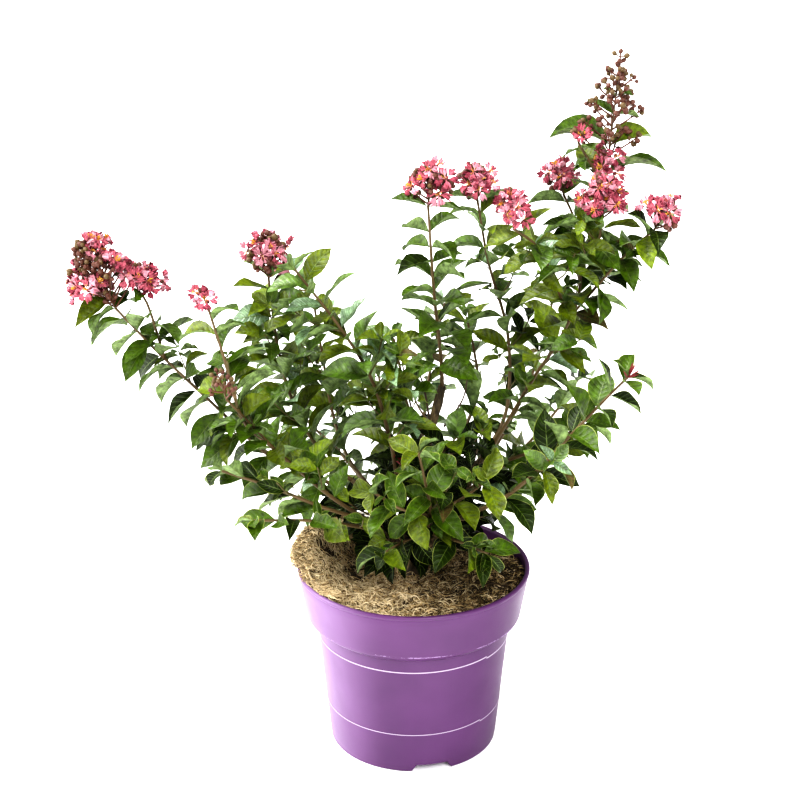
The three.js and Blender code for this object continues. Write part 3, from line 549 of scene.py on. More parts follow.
def blade_probes(corners):
    """Points over a blade, which all have to be in free space."""
    root, left, tip, right = corners
    middle = (left + right) / 2
    pairs = ((root, left), (root, right), (left, tip), (right, tip), (root, middle), (middle, tip))
    return np.array([left, tip, right, *[(a + b) / 2 for a, b in pairs]])


def pierced(stretches, triangles):
    """True if any stretch passes through any triangle."""
    a, along = stretches[:, None, 0], (stretches[:, 1] - stretches[:, 0])[:, None]
    p, edge1 = triangles[None, :, 0], (triangles[:, 1] - triangles[:, 0])[None]
    edge2 = (triangles[:, 2] - triangles[:, 0])[None]
    h = np.cross(along, edge2)
    det = (edge1 * h).sum(-1)
    safe = np.where(np.abs(det) < 1e-9, np.inf, det)
    to_a = a - p
    u = (to_a * h).sum(-1) / safe
    q = np.cross(to_a, edge1)
    v = (along * q).sum(-1) / safe
    t = (edge2 * q).sum(-1) / safe
    inside = (u >= 0) & (v >= 0) & (u + v <= 1) & (t >= 0) & (t <= 1) & (np.abs(det) >= 1e-9)
    return bool(inside.any())


class Neighbours:
    """Every blade and stretch of wood placed so far, to tell whether a new blade would pass through one."""

    REACH = 120  # two blades whose roots are further apart than this can't meet

    def __init__(self, most=6000):
        self.count = 0
        self.roots = np.zeros((most, 3))
        self.edges = np.zeros((most, 5, 2, 3))
        self.halves = np.zeros((most, 2, 3, 3))
        self.wood = limb_stretches

    def add_wood(self, stretches):
        self.wood = np.concatenate([self.wood, stretches])

    def add_blade(self, corners):
        self.roots[self.count] = corners[0]
        self.edges[self.count] = corners[EDGES]
        self.halves[self.count] = corners[HALVES]
        self.count += 1

    def are_crossed_by(self, corners):
        """True if a blade passes through another, or through wood away from its own root."""
        root, _, tip, _ = corners
        apart = np.linalg.norm(self.roots[: self.count] - root, axis=1)
        near = np.flatnonzero((apart > 0.5) & (apart < self.REACH))
        own = corners[HALVES]
        if pierced(corners[EDGES], self.halves[near].reshape(-1, 3, 3)):
            return True
        if pierced(self.edges[near].reshape(-1, 2, 3), own):
            return True
        close = self.wood[np.linalg.norm(self.wood[:, 0] - root, axis=1) < self.REACH]
        own[:, 0] = lerp(root, tip, 0.12)
        return pierced(close, own)


def leaf_at(place, angle, length, draws, shoot):
    """A leaf at a place on a stem, at an angle round it. Its blade turns to the light and its tip droops."""
    opened, drooped, rolled = draws
    point, tangent, side, up = place
    out = around(side, up, angle)
    spread = math.radians(lerp(*STANCE["angle"], opened) + shoot["flat"])
    along = unit(tangent * math.cos(spread) + out * math.sin(spread) - shoot["hang"] * UP)
    face = 0.5 * (tangent * math.sin(spread) - out * math.cos(spread)) + shoot["light"]
    face = unit(face - face @ along * along)
    roll = math.radians(STANCE["roll"] * (2 * rolled - 1))
    face = around(face, np.cross(along, face), roll)
    droop = math.radians(lerp(*STANCE["droop"], drooped))
    return dict(root=point, along=along, up=face, length=length, droop=droop)


# How far a leaf turns round its stem to find room, in the order that is tried.
TURNS = [math.radians(turn) for turn in (0, 40, -40, 80)]


def add_leaves(crown, neighbours, stem, random):
    """Opposite pairs of leaves along a stem, in two ranks where it is level and crosswise where it rises."""
    line, start, end, size, bracts = (stem[key] for key in ("line", "start", "end", "size", "bracts"))
    spacing = LEAF["spacing"] * math.sqrt(size) / crown["shoot"]["dense"]
    pairs = max(1, round(line.length * (end - start) / spacing))
    shares = [start + (end - start) * (k + 0.7) / pairs for k in range(pairs)]
    if stem["tipped"]:
        shares.append(1)
    spray = random()
    for k, share in enumerate(shares):
        place = line.at(share)
        rising = 0 if bracts else smoothstep(place[1][2], 0.3, 0.65)
        cross = math.radians(lerp(*PAIR["cross"], rising)) * (1 if k % 2 else -1)
        taper = lerp(1, PAIR["outer"], max(0, share - 0.6) / 0.4) * (PAIR["last"] if k == pairs else 1)
        for half in (0, math.pi):
            angle = half + cross + math.radians(PAIR["stray"] * (random() - 0.5))
            length = LEAF["length"] * size * taper * (0.85 + 0.3 * random())
            draws = [random(), random(), random()]
            looks = [random() for _ in range(6)]
            for turn in TURNS:
                leaf = leaf_at(place, angle + turn, length, draws, crown["shoot"])
                corners = blade_corners(leaf)
                probes = blade_probes(corners)
                if not keeps_to_space(crown["name"], probes) or not (bracts or keeps_off_flowers(probes)):
                    continue
                if not neighbours.are_crossed_by(corners):
                    neighbours.add_blade(corners)
                    crown["leaves"].append(dict(leaf, looks=looks, spray=spray, share=share))
                    break


def stem_of(line, radius, tip_radius, start, size, tipped=True, end=1, bracts=False):
    """A stem with leaves of a size from start to end, and a last pair at its tip if tipped."""
    return dict(line=line, radius=radius, tip_radius=tip_radius, start=start, end=end, size=size,
                tipped=tipped, bracts=bracts)


def twigs_along(name, line, kind, random):
    """Side twigs of a kind, which leave a stem at some of its nodes, as stems of their own."""
    stems = []
    nodes = max(1, round(line.length / kind["spacing"]))
    for k in range(1, math.ceil(nodes * 0.8)):
        wanted = random() < kind["chance"]
        angle = (0 if random() < 0.5 else math.pi) + math.radians(80 * (random() - 0.5))
        length = kind["length"] * (0.7 + 0.6 * random())
        if wanted:
            point, tangent, side, up = line.at(k / nodes)
            out = around(side, up, angle)
            bend = point + length * (0.3 * tangent + 0.32 * out)
            tip = point + length * (0.68 * tangent + 0.62 * out + 0.12 * UP)
            twig = smooth_line([point, bend, tip], min(STEM["step"], length / 4))
            if keeps_to_space(name, twig.points[2:]):
                stems.append(stem_of(twig, kind["radius"], kind["tip_radius"], kind["bare"], kind["leaf"]))
    return stems


def panicle_stalks(foot, head, random):
    """Stalks all round a panicle's axis, of which those furthest to its open side carry florets."""
    axis = np.array(head["axis"], float)
    direction = unit(axis)
    level, across = square_to(direction)
    count = head["florets"] + head["buds"]
    phase = 2 * math.pi * random()
    side = unit(head["side"])
    stalks = []
    for i in range(count):
        share = (i + 0.5) / count
        narrowing = head["taper"] * max(0, share - head["shoulder"]) / (1 - head["shoulder"])
        reach = head["spread"] * (1 - narrowing) * (0.5 + 0.6 * random())
        start = foot + axis * share * 0.92
        out = around(level, across, phase + i * GOLDEN)
        end = start + out * reach * 0.76 + direction * reach * 0.56
        facing = unit(out + 0.5 * direction + head["turn"] * side)
        stalks.append(dict(foot=start, end=end, out=facing, share=share, bud=head["bud"]))
    centre = foot + axis * 0.5
    drift = head["mix"] * head["spread"]
    openness = [(s["end"] - centre) @ side - 0.35 * np.linalg.norm(axis) * s["share"] + drift * random()
                for s in stalks]
    for rank, i in enumerate(np.argsort(openness)[::-1]):
        stalk = stalks[i]
        stalk["is_floret"] = rank < head["florets"]
        if stalk["is_floret"]:
            stalk["end"] = lerp(stalk["foot"], stalk["end"], head["close"])
    stalks.append(dict(foot=foot + 0.85 * axis, end=foot + axis, out=direction, is_floret=False,
                       bud=head["bud"]))
    return stalks


def new_crown(name):
    return dict(name=name, shoot=SHOOTS.get(name, PLAIN_SHOOT), wood=[], axes=[], stalks=[], bracts=[],
                leaves=[])


def grow_shoot(name, random):
    """One shoot's stems, twigs, panicle axes and flower stalks, by the rule of the part's source."""
    crown = new_crown(name)
    twig = dict(TWIG, chance=TWIG["chance"] * crown["shoot"]["twigs"])
    for line, head, radius, leaf_size in stems_by_shoot[name]:
        crown["wood"].append(stem_of(line, radius, STEM["tip_radius"], 0.08, leaf_size, tipped=not head,
                                     end=0.97 if head else 1))
        crown["wood"] += twigs_along(name, line, twig, random) + twigs_along(name, line, SPUR, random)
        if head:
            foot, axis = line.points[-1], np.array(head["axis"], float)
            crown["axes"].append((foot, axis))
            crown["stalks"] += panicle_stalks(foot, head, random)
            middle = Line(foot + axis * np.linspace(0, 1, 12)[:, None])
            crown["bracts"] += [stem_of(middle, 0, 0, share, size, tipped=False, end=share, bracts=True)
                                for share, size in head["bracts"]]
    return crown


def grow_bough(name, random):
    """Leafy twigs straight from a bough, which fill the middle of the shrub."""
    crown = new_crown(name)
    crown["wood"] = twigs_along(name, limbs[name][0], BOUGH_TWIG, random)
    return crown


def wood_stretches(crown):
    ends = [(foot, foot + axis) for foot, axis in crown["axes"]]
    ends += [(stalk["foot"], stalk["end"]) for stalk in crown["stalks"]]
    return np.concatenate([*[stem["line"].stretches for stem in crown["wood"]],
                           np.array(ends, float).reshape(-1, 2, 3)])


def grow_plant():
    """All the wood first, and then the leaves, which cross neither it nor each other."""
    crowns, draws = {}, {}
    neighbours = Neighbours()
    for points in DEAD_TWIGS:
        neighbours.add_wood(smooth_line(points, 12).stretches)
    for i, name in enumerate([*SHOOTS, *BOUGHS]):
        is_shoot = name in SHOOTS
        draws[name] = generator(SHOOTS[name]["seed"] if is_shoot else SEEDS["boughs"] + i)
        crowns[name] = (grow_shoot if is_shoot else grow_bough)(name, draws[name])
        neighbours.add_wood(wood_stretches(crowns[name]))
    for name, crown in crowns.items():
        for stem in crown["wood"] + crown["bracts"]:
            add_leaves(crown, neighbours, stem, draws[name])
    return crowns


crowns = grow_plant()

# ------------------------------------------------------------------ materials


def srgb(red, green, blue):
    """A colour given as it looks on screen, from 0 to 255, as the shader's own linear values."""
    shares = [c / 255 for c in (red, green, blue)]
    return (*[s / 12.92 if s <= 0.04045 else ((s + 0.055) / 1.055) ** 2.4 for s in shares], 1)


class Surface:
    """A material and its nodes, whose inputs are plain values or other nodes' outputs."""

    def __init__(self, name, specular=0.5):
        self.material = bpy.data.materials.new(name)
        self.material.use_nodes = True
        self.tree = self.material.node_tree
        self.shader = self.tree.nodes["Principled BSDF"]
        self.feed(self.shader, {"Specular IOR Level": specular})

    def feed(self, node, inputs):
        """Sets inputs of a node, by name or number, or links them to outputs."""
        for key, value in inputs.items():
            if isinstance(value, bpy.types.NodeSocket):
                self.tree.links.new(value, node.inputs[key])
            else:
                node.inputs[key].default_value = value

    def node(self, kind, inputs, **settings):
        node = self.tree.nodes.new(f"ShaderNode{kind}")
        for key, value in settings.items():
            setattr(node, key, value)
        self.feed(node, inputs)
        return node

    def noise(self, scale, detail=4, roughness=0.55, stretch=(1, 1, 1)):
        """Noise from 0 to 1 over the object, stretched by a factor each way."""
        place = self.node("TexCoord", {}).outputs["Object"]
        place = self.node("Mapping", {"Vector": place, "Scale": stretch}).outputs["Vector"]
        settings = {"Vector": place, "Scale": scale, "Detail": detail, "Roughness": roughness}
        return self.node("TexNoise", settings).outputs["Fac"]

    def parts(self, coordinates):
        """The three parts of a kind of coordinates."""
        place = self.node("TexCoord", {}).outputs[coordinates]
        return tuple(self.node("SeparateXYZ", {"Vector": place}).outputs)

    def ramp(self, value, *stops):
        """A colour for a value, over stops of (place, colour)."""
        node = self.node("ValToRGB", {"Fac": value})
        elements = node.color_ramp.elements
        elements[0].position, elements[0].color = stops[0]
        elements[1].position, elements[1].color = stops[-1]
        for place, colour in stops[1:-1]:
            elements.new(place).color = colour
        return node.outputs["Color"]

    def spread(self, value, low, high, start=0, end=1, interpolation="LINEAR"):
        """A value between start and end, spread between low and high."""
        settings = {"Value": value, "From Min": start, "From Max": end, "To Min": low, "To Max": high}
        return self.node("MapRange", settings, interpolation_type=interpolation).outputs["Result"]

    def mix(self, share, first, second):
        colours = {"Factor": share, "A": first, "B": second}
        return self.node("Mix", colours, data_type="RGBA").outputs["Result"]

    def maths(self, operation, first, second=0):
        return self.node("Math", {0: first, 1: second}, operation=operation).outputs["Value"]

    def finish(self, colour, roughness, height, strength, depth):
        """The finished material, with a relief whose depth is in metres."""
        relief = self.node("Bump", {"Strength": strength, "Distance": depth, "Height": height})
        self.feed(self.shader, {"Base Color": colour, "Roughness": roughness,
                                "Normal": relief.outputs["Normal"]})
        return self.material


# Each plain piece: its colour, its roughness, how fine its relief is and how deep in metres, and its gloss.
PLAIN_LOOKS = {
    "pot_lines": ((174, 160, 178), 0.6, 300, 0.0002, 0.3),
    "fibres_pale_straw": ((208, 189, 154), 0.8, 500, 0.0002, 0.25),
    "fibres_tan": ((173, 150, 110), 0.8, 500, 0.0002, 0.25),
    "fibres_brown": ((118, 98, 66), 0.8, 500, 0.0002, 0.25),
    "fibres_dark": ((46, 36, 22), 0.8, 500, 0.0002, 0.25),
    "dead_twigs": ((65, 51, 38), 0.8, 200, 0.0008, 0.5),
    "woody_stems": ((92, 74, 44), 0.6, 260, 0.0006, 0.5),
    "green_twigs": ((88, 80, 42), 0.55, 260, 0.0004, 0.5),
    "leaf_ribs": ((96, 114, 46), 0.5, 400, 0.0002, 0.5),
    "leaf_veins": ((68, 90, 26), 0.5, 400, 0.0002, 0.5),
    "leaf_margins": ((134, 144, 66), 0.5, 400, 0.0002, 0.5),
    "petals_coral": ((180, 97, 111), 0.6, 380, 0.0005, 0.3),
    "petals_rose": ((148, 66, 82), 0.6, 380, 0.0005, 0.3),
    "petals_pale": ((206, 146, 158), 0.6, 380, 0.0005, 0.3),
    "stamens": ((214, 164, 66), 0.6, 400, 0.0001, 0.5),
    "maroon_buds": ((88, 50, 36), 0.55, 420, 0.0004, 0.5),
    "olive_buds": ((90, 70, 38), 0.55, 420, 0.0004, 0.5),
    "spent_blooms": ((126, 48, 51), 0.7, 400, 0.0002, 0.5),
    "flower_stalks": ((98, 58, 42), 0.6, 300, 0.0003, 0.5),
}


def make_plain(name, shape, **more):
    """A piece in one plain colour, with roughness and a fine relief that vary over it."""
    colour, rough, fineness, depth, gloss = PLAIN_LOOKS[name]
    surface = Surface(name, gloss)
    grain = surface.noise(fineness)
    roughness = surface.spread(grain, rough - 0.12, rough + 0.12)
    make_piece(name, shape, surface.finish(srgb(*colour), roughness, grain, 0.5, depth), **more)


def leaf_material(name, colour, rough, specular):
    """A blade in one plain colour, quilted between its side veins, which run out from the midrib."""
    s = Surface(name, specular)
    grain = s.noise(330, 5, 0.65)
    darker, lighter = (srgb(*[min(c * share, 255) for c in colour]) for share in (0.66, 1.24))
    green = s.ramp(s.noise(120, 6, 0.7), (0.36, darker), (0.64, lighter))
    across, along, _ = s.parts("UV")
    from_rib = s.maths("ABSOLUTE", s.maths("SUBTRACT", across, 0.5))
    slanted = s.maths("SUBTRACT", along, s.maths("MULTIPLY", from_rib, 0.42))
    quilts = s.maths("ABSOLUTE", s.maths("SINE", s.maths("MULTIPLY", slanted, 7 * math.pi)))
    height = s.maths("ADD", s.maths("POWER", quilts, 0.5), s.maths("MULTIPLY", grain, 0.9))
    return s.finish(green, s.spread(grain, rough - 0.1, rough + 0.12), height, 0.75, 0.0007)


def pot_material():
    """Moulded purple plastic with a painted sheen on its left, where the light falls, and pale scuffs along
    the collar's foot.
    """
    s = Surface("pot_plastic", 0.4)
    x, _, z = s.parts("Object")
    purple = s.ramp(s.noise(9, 3), (0.3, srgb(75, 38, 82)), (0.7, srgb(87, 47, 94)))
    from_edge = s.maths("ABSOLUTE", s.maths("SUBTRACT", z, SCUFF["height"] * MM))
    near_edge = s.maths("SUBTRACT", 1, s.maths("MULTIPLY", from_edge, 1 / (SCUFF["reach"] * MM)))
    worn = s.maths("MULTIPLY", s.noise(26, 2, stretch=(1, 1, 0.2)), s.noise(330, 5, 0.7))
    scuffed = s.maths("GREATER_THAN", s.maths("MULTIPLY", worn, near_edge), 0.25)
    purple = s.mix(s.maths("MULTIPLY", scuffed, 0.75), purple, srgb(156, 128, 168))
    # painted sheen: the left side turns pale lilac in soft blotches, standing in for the light that falls
    # there
    painted_sheen = s.spread(x, 0, 0.68, -0.03, -0.135, "SMOOTHSTEP")
    sheen_blotches = s.spread(s.noise(14, 3, stretch=(1, 1, 0.5)), 0.3, 1.2)
    purple = s.mix(s.maths("MULTIPLY", painted_sheen, sheen_blotches), purple, srgb(154, 120, 167))
    smudges = s.noise(30)
    height = s.maths("ADD", s.noise(700, 3), smudges)
    return s.finish(purple, s.spread(smudges, 0.34, 0.52), height, 0.2, 0.0004)


def coir_material():
    """Matted fibre: fine strands that cross, dark in the hollows between them as painted shade, and pale on
    the ridges.
    """
    s = Surface("coir_mat")
    crossed, *others = (s.noise(60, 6, 0.7, stretch) for stretch in ((1, 9, 3), (9, 1, 3), (5, 5, 1)))
    for strands in others:
        crossed = s.maths("MAXIMUM", crossed, strands)
    tone = s.maths("MULTIPLY", crossed, s.spread(s.noise(12, 3), 0.7, 1.2))
    # painted shade: the ramp's dark end falls in the hollows and in the gaps under the loose fibres
    brown = s.ramp(tone, (0.4, srgb(28, 20, 11)), (0.56, srgb(70, 54, 32)), (0.72, srgb(116, 95, 62)))
    return s.finish(brown, s.spread(crossed, 0.85, 1), crossed, 1, 0.002)


def bark_material():
    """Tan-brown flaking bark with long pale ridges and dark cracks."""
    s = Surface("bark")
    flakes = s.noise(60)
    tone = s.maths("MULTIPLY", s.noise(150, 6, 0.7, (1, 1, 0.22)), s.spread(flakes, 0.75, 1.25))
    brown = s.ramp(tone, (0.34, srgb(31, 26, 16)), (0.5, srgb(70, 58, 37)), (0.66, srgb(118, 102, 70)))
    return s.finish(brown, s.spread(flakes, 0.7, 0.95), tone, 1, 0.0015)


def mix_material():
    """Dark crumbly potting mix."""
    s = Surface("potting_mix")
    crumbs = s.noise(160, 6, 0.75)
    brown = s.ramp(crumbs, (0.35, srgb(19, 13, 10)), (0.6, srgb(54, 38, 27)), (0.75, srgb(91, 70, 51)))
    return s.finish(brown, s.spread(crumbs, 0.85, 1), crumbs, 1, 0.003)


# ------------------------------------------------------------------ pot


def polar(r, bearing, z):
    """Points at radii, bearings and heights, as (..., 3)."""
    return np.stack(np.broadcast_arrays(r * np.cos(bearing), r * np.sin(bearing), z), axis=-1)


COLLAR_FOOT = POT["height"] - POT["collar_height"]
SHOULDER_FOOT = COLLAR_FOOT - POT["shoulder_height"]
BODY_SLOPE = (POT["body_radius"] - POT["base_radius"]) / SHOULDER_FOOT


def pot_profile(in_notch):
    """The pot's section as (radius, height), from the middle of its underside round its wall to its floor.
    Both kinds have the same number of points, so that columns in a notch join those beside it."""
    base, body, wall, floor = (POT[key] for key in ("base_radius", "body_radius", "wall", "floor"))
    collar, rim, lip, high = POT["collar_radius"], POT["rim_radius"], POT["lip_radius"], NOTCH["height"]
    lip_foot = POT["height"] - POT["lip_height"]
    inner = base + 2 - NOTCH["depth"]
    skin_top = high + NOTCH["skin"]
    above_foot = (base + BODY_SLOPE * high, high)
    if in_notch:
        foot = [(inner, 0), (inner, high), (base - 3, high), (base, high), above_foot]
        corner = [(inner - NOTCH["skin"], skin_top), (inner - NOTCH["skin"], floor)]
    else:
        foot = [(inner, 0), (inner + 6, 0), (base - 1.2, 0), (base, 1.2), above_foot]
        corner = [(base - wall, floor), (base - wall - 1, floor)]
    body_rows = [(base + BODY_SLOPE * z, z) for z in np.linspace(high + 4, SHOULDER_FOOT - 2, 12)]
    shoulder = [(body, SHOULDER_FOOT), (lerp(body, collar, 0.5), SHOULDER_FOOT + 4.5),
                (collar - 0.6, COLLAR_FOOT - 1.4), (collar, COLLAR_FOOT)]
    collar_slope = (rim - collar) / POT["collar_height"]
    collar_rows = [(collar + collar_slope * (z - COLLAR_FOOT), z)
                   for z in np.linspace(COLLAR_FOOT + 3, lip_foot - 1, 7)]
    bead = [(rim - lip + lip * math.cos(a), POT["height"] - lip + lip * math.sin(a))
            for a in np.radians(range(-60, 181, 30))]
    inside = [(rim - lip - wall, lip_foot - 2), (collar - wall, COLLAR_FOOT), (body - wall, SHOULDER_FOOT),
              (base + BODY_SLOPE * skin_top - wall, skin_top), *corner, (0.1, floor)]
    return np.array([(0.1, 0), *foot, *body_rows, *shoulder, *collar_rows, *bead, *inside])


def from_notch(bearing):
    """How far a bearing is from the middle of the nearest notch, in degrees."""
    period = 360 / NOTCH["count"]
    return (bearing - NOTCH["bearing"] + period / 2) % period - period / 2


def make_pot():
    """The pot's wall in columns, which are drawn in towards each notch with the slant of its sides."""
    half = math.degrees(math.asin(NOTCH["width"] / 2 / POT["base_radius"]))
    lean = math.degrees(NOTCH["slant"] / POT["base_radius"])
    even = np.arange(POT["columns"]) * 360 / POT["columns"]
    kept = even[np.abs(np.abs(from_notch(even)) - half) >= 1]
    middles = NOTCH["bearing"] + 360 * np.arange(NOTCH["count"]) / NOTCH["count"]
    beside = [(middle + side * half + shift) % 360
              for middle, side, shift in product(middles, (-1, 1), (-0.12, 0.12))]
    columns = []
    for bearing in np.sort(np.concatenate([kept, beside])):
        off = from_notch(bearing)
        inside = abs(off) < half
        r, z = pot_profile(inside).T
        share = abs(off) / half if inside else max(0, 1 - (abs(off) - half) / half)
        drawn_in = np.sign(off) * lean * share * np.clip(z / NOTCH["height"], 0, 1)
        columns.append(polar(r, np.radians(bearing - drawn_in), z))
    shape = Shape()
    shape.add_grids(np.stack(columns, axis=1)[None], closed=True)
    make_piece("nursery_pot", shape, pot_material(), "pot", ["pot"], sharp=38)


def make_lines():
    """Two thin raised lines round the body. Each one's ends miss each other by a small step at the seam."""
    shape = Shape()
    turns = np.linspace(0, 1, 181)
    bearings = np.radians(LINES["seam_bearing"] + 360 * turns)
    for height, width in zip(LINES["heights"], LINES["widths"]):
        middle = height + LINES["step"] * (turns**6 - (1 - turns)**6) / 2
        rows = []
        for across, proud in ((-0.5, -0.2), (-0.4, 1), (0.4, 1), (0.5, -0.2)):
            z = middle + across * width
            rows.append(polar(POT["base_radius"] + BODY_SLOPE * z + proud * LINES["proud"], bearings, z))
        shape.add_grids([rows])
    make_plain("pot_lines", shape, slot="pot", nodes=["pot"], sharp=50)


# ------------------------------------------------------------------ mulch


def lumps(x, y):
    """Low lumps of a felted mat and the one hollow by its lifted edge, in millimetres."""
    broad = np.sin(x / 13 + 1.3 * np.sin(y / 19)) * np.cos(y / 11 + np.sin(x / 17))
    fine = np.sin(x / 4.1 + 2 * np.sin(y / 5.3)) * np.sin(y / 3.7 + 1.7 * np.sin(x / 6.1))
    away = ((x - HOLLOW["place"][0]) ** 2 + (y - HOLLOW["place"][1]) ** 2) / HOLLOW["radius"] ** 2
    return 1.3 * broad + 0.7 * fine - HOLLOW["depth"] * np.exp(-away)


def make_mat():
    """The felted disc itself: its wavy top, its edge and its underside."""
    bearings = np.linspace(0, 2 * np.pi, MULCH["columns"], endpoint=False)
    rough_edge = 1.6 * np.sin(23 * bearings + 2 * np.sin(5 * bearings)) + 0.9 * np.sin(61 * bearings)
    edge = mulch_edge(bearings) - 1.5 + rough_edge
    inner = MULCH["hole"] + 3
    r = inner + np.linspace(0, 1, MULCH["rings"])[:, None] ** 0.8 * (edge - inner)
    x, y, _ = np.moveaxis(polar(r, bearings, 0), -1, 0)
    ragged = 3 * smoothstep(r, mulch_edge(bearings) - 8, mulch_edge(bearings))
    top = np.stack([x, y, mulch_top(r, bearings) + lumps(x, y) - ragged], axis=-1)
    under, inner_under = top[-1:].copy(), top[:1].copy()
    under[..., 2] = MIX_TOP + mulch_lift(r[-1:], bearings)
    inner_under[..., 2] = MIX_TOP
    shape = Shape()
    shape.add_grids(np.concatenate([inner_under, top, under, inner_under])[None], closed=True)
    make_piece("coir_mat", shape, coir_material(), "coir", ["mulch_disc"])


STRAND = np.linspace(0, 1, 7)
STRAND_WIDTH = np.array([0.6, 0.9, 1, 1, 0.95, 0.8, 0.3])


def strand_paths(random, r, bearing, heading, length):
    """Curled level paths as x and y, each (count, points), with the heading at every point."""
    count = len(length)
    bend = random.uniform(*FIBRE["curl"], count) * random.choice([-1, 1], count)
    turn = heading[:, None] + bend[:, None] * STRAND
    steps = length[:, None] / (len(STRAND) - 1)
    x = (r * np.cos(bearing))[:, None] + np.cumsum(np.cos(turn) * steps, axis=1) - np.cos(turn[:, :1]) * steps
    y = (r * np.sin(bearing))[:, None] + np.cumsum(np.sin(turn) * steps, axis=1) - np.sin(turn[:, :1]) * steps
    return x, y, turn


def ribbons(random, middle, turn):
    """Thin ribbons along paths, each tilted its own way."""
    count = len(middle)
    flat = np.stack([-np.sin(turn), np.cos(turn), np.zeros_like(turn)], axis=-1)
    tilt = random.uniform(-1.2, 1.2, count)[:, None, None]
    across = flat * np.cos(tilt) + UP * np.sin(tilt)
    half = random.uniform(*FIBRE["width"], count)[:, None, None] / 2 * STRAND_WIDTH[None, :, None]
    return np.stack([middle - across * half, middle + across * half], axis=2)


def lying_fibres(random):
    """Fibres that lie on the mat or arch a little over it, and leave its slits open and its hollow bare, so
    that the dark mat there is painted shade.
    """
    count = FIBRE["count"]
    bearing = random.uniform(0, 2 * np.pi, count)
    r = np.sqrt(random.uniform(0.01, 1, count)) * (mulch_edge(bearing) - 1)
    length = random.uniform(*FIBRE["length"], count) * random.uniform(0.5, 1, count)
    rise = random.uniform(0.05, 0.6, count) ** 2
    x, y, turn = strand_paths(random, r, bearing, random.uniform(0, 2 * np.pi, count), length)
    bearing = np.arctan2(y, x)
    r = np.minimum(np.hypot(x, y), mulch_edge(bearing) + 3)
    x, y = r * np.cos(bearing), r * np.sin(bearing)
    arch = (rise * length)[:, None] * np.sin(np.pi * STRAND * 0.85)
    z = mulch_top(r, bearing) + lumps(x, y) + 0.5 + arch
    strands = ribbons(random, np.stack([x, y, z], axis=-1), turn)
    # painted shade: no fibres in the hollow's middle, so the dark mat shows there
    from_hollow = np.hypot(x - HOLLOW["place"][0], y - HOLLOW["place"][1]).min(axis=1)
    flat = np.stack([x, y], axis=-1).reshape(-1, 2)
    from_slits = distances(np.array(SLITS, float), flat).reshape(count, -1).min(axis=1)
    return strands[(from_hollow >= HOLLOW["open"]) & (from_slits >= SLIT_HALF_WIDTH)]


def fringe_fibres(random):
    """Loose ends that hang out of the mat's lifted edge over the rim of the pot."""
    count = FRINGE["count"]
    middle, half = math.radians(MULCH["lift_bearing"]), math.radians(MULCH["lift_half_angle"])
    bearing = random.uniform(middle - half, middle + half, count)
    r = mulch_edge(bearing) - random.uniform(*FRINGE["inset"], count)
    length = random.uniform(*FRINGE["length"], count)
    x, y, turn = strand_paths(random, r, bearing, bearing + random.normal(0, 0.9, count), length)
    start = mulch_top(r, bearing) - random.uniform(*FRINGE["sink"], count)
    fall = random.uniform(*FRINGE["fall"], count) * length
    z = start[:, None] - fall[:, None] * STRAND**1.6
    over_rim = mulch_top(r, bearing) > POT["height"] + 5
    furthest = POT["rim_radius"] + np.where(over_rim, FRINGE["overhang"], -2)
    r = np.hypot(x, y)
    on_rim = POT["height"] + 0.8 - 14 * smoothstep(r, POT["rim_radius"] + 0.5, POT["rim_radius"] + 3)
    strands = ribbons(random, np.stack([x, y, np.maximum(z, on_rim)], axis=-1), turn)
    return strands[r.max(axis=1) < furthest]


def make_fibres():
    """Loose coir fibres over the mat in four plain colours, paler at the left and darker to the right, which
    is partly their own mixed tones and partly painted shade under the crown.
    """
    random = np.random.default_rng(SEEDS["fibres"])
    strands = np.concatenate([lying_fibres(random), fringe_fibres(random)])
    x = strands.mean(axis=(1, 2))[:, 0]
    # the slope with x paints the crown's shade over the right, on top of the fibres' own random tones
    shade = 0.33 + np.maximum(x, -60) / 170 + random.normal(0, 0.52, len(x))
    groups = np.digitize(shade, (0.16, 0.52, 0.92))
    for i, tone in enumerate(("pale_straw", "tan", "brown", "dark")):
        shape = Shape()
        shape.add_grids(strands[groups == i])
        make_plain(f"fibres_{tone}", shape, slot="coir", nodes=["mulch_disc"])


# ------------------------------------------------------------------ bark and stems


def bark_relief(seed, line, sides):
    """Long ridges and flakes as factors on a limb's radius."""
    random = np.random.default_rng(seed)
    angles = 2 * np.pi * np.arange(sides) / sides
    ridges = sum(random.uniform(0.02, 0.05) * np.sin(k * angles + random.uniform(0, 6)) for k in (2, 3, 5, 7))
    flakes = random.normal(0, 0.03, (len(line.points), sides))
    drift = np.cumsum(random.normal(0, 0.012, len(line.points)))[:, None]
    return 1 + ridges + flakes + drift - drift.mean()


def make_bark():
    """The trunk, which flares out at its foot, and the boughs with a few knots each."""
    shape = Shape()
    for i, (name, (line, radius, tip_radius)) in enumerate(limbs.items()):
        if name == "trunk":
            sides = TRUNK_SIDES
            rise = line.points[:, 2] - MIX_TOP
            swell = TRUNK["flare"] * np.maximum(0, 1 - rise / TRUNK["flare_height"]) ** 2
        else:
            sides = BOUGH_SIDES
            knots = np.random.default_rng(SEEDS["knots"] + i).uniform(0.15, 0.95, 3)
            swell = sum(0.7 * np.exp(-((line.shares - knot) / 0.03) ** 2) for knot in knots)
        add_tube(shape, line, radius, tip_radius, sides, swell, bark_relief(i, line, sides))
    make_piece("bark", shape, bark_material(), "bark", list(limbs))


def node_swell(line):
    """A stem is a little thicker at each pair of leaves."""
    nodes = max(1, round(line.length / LEAF["spacing"]))
    return 0.22 * np.maximum(0, np.cos(2 * np.pi * line.shares * nodes)) ** 6


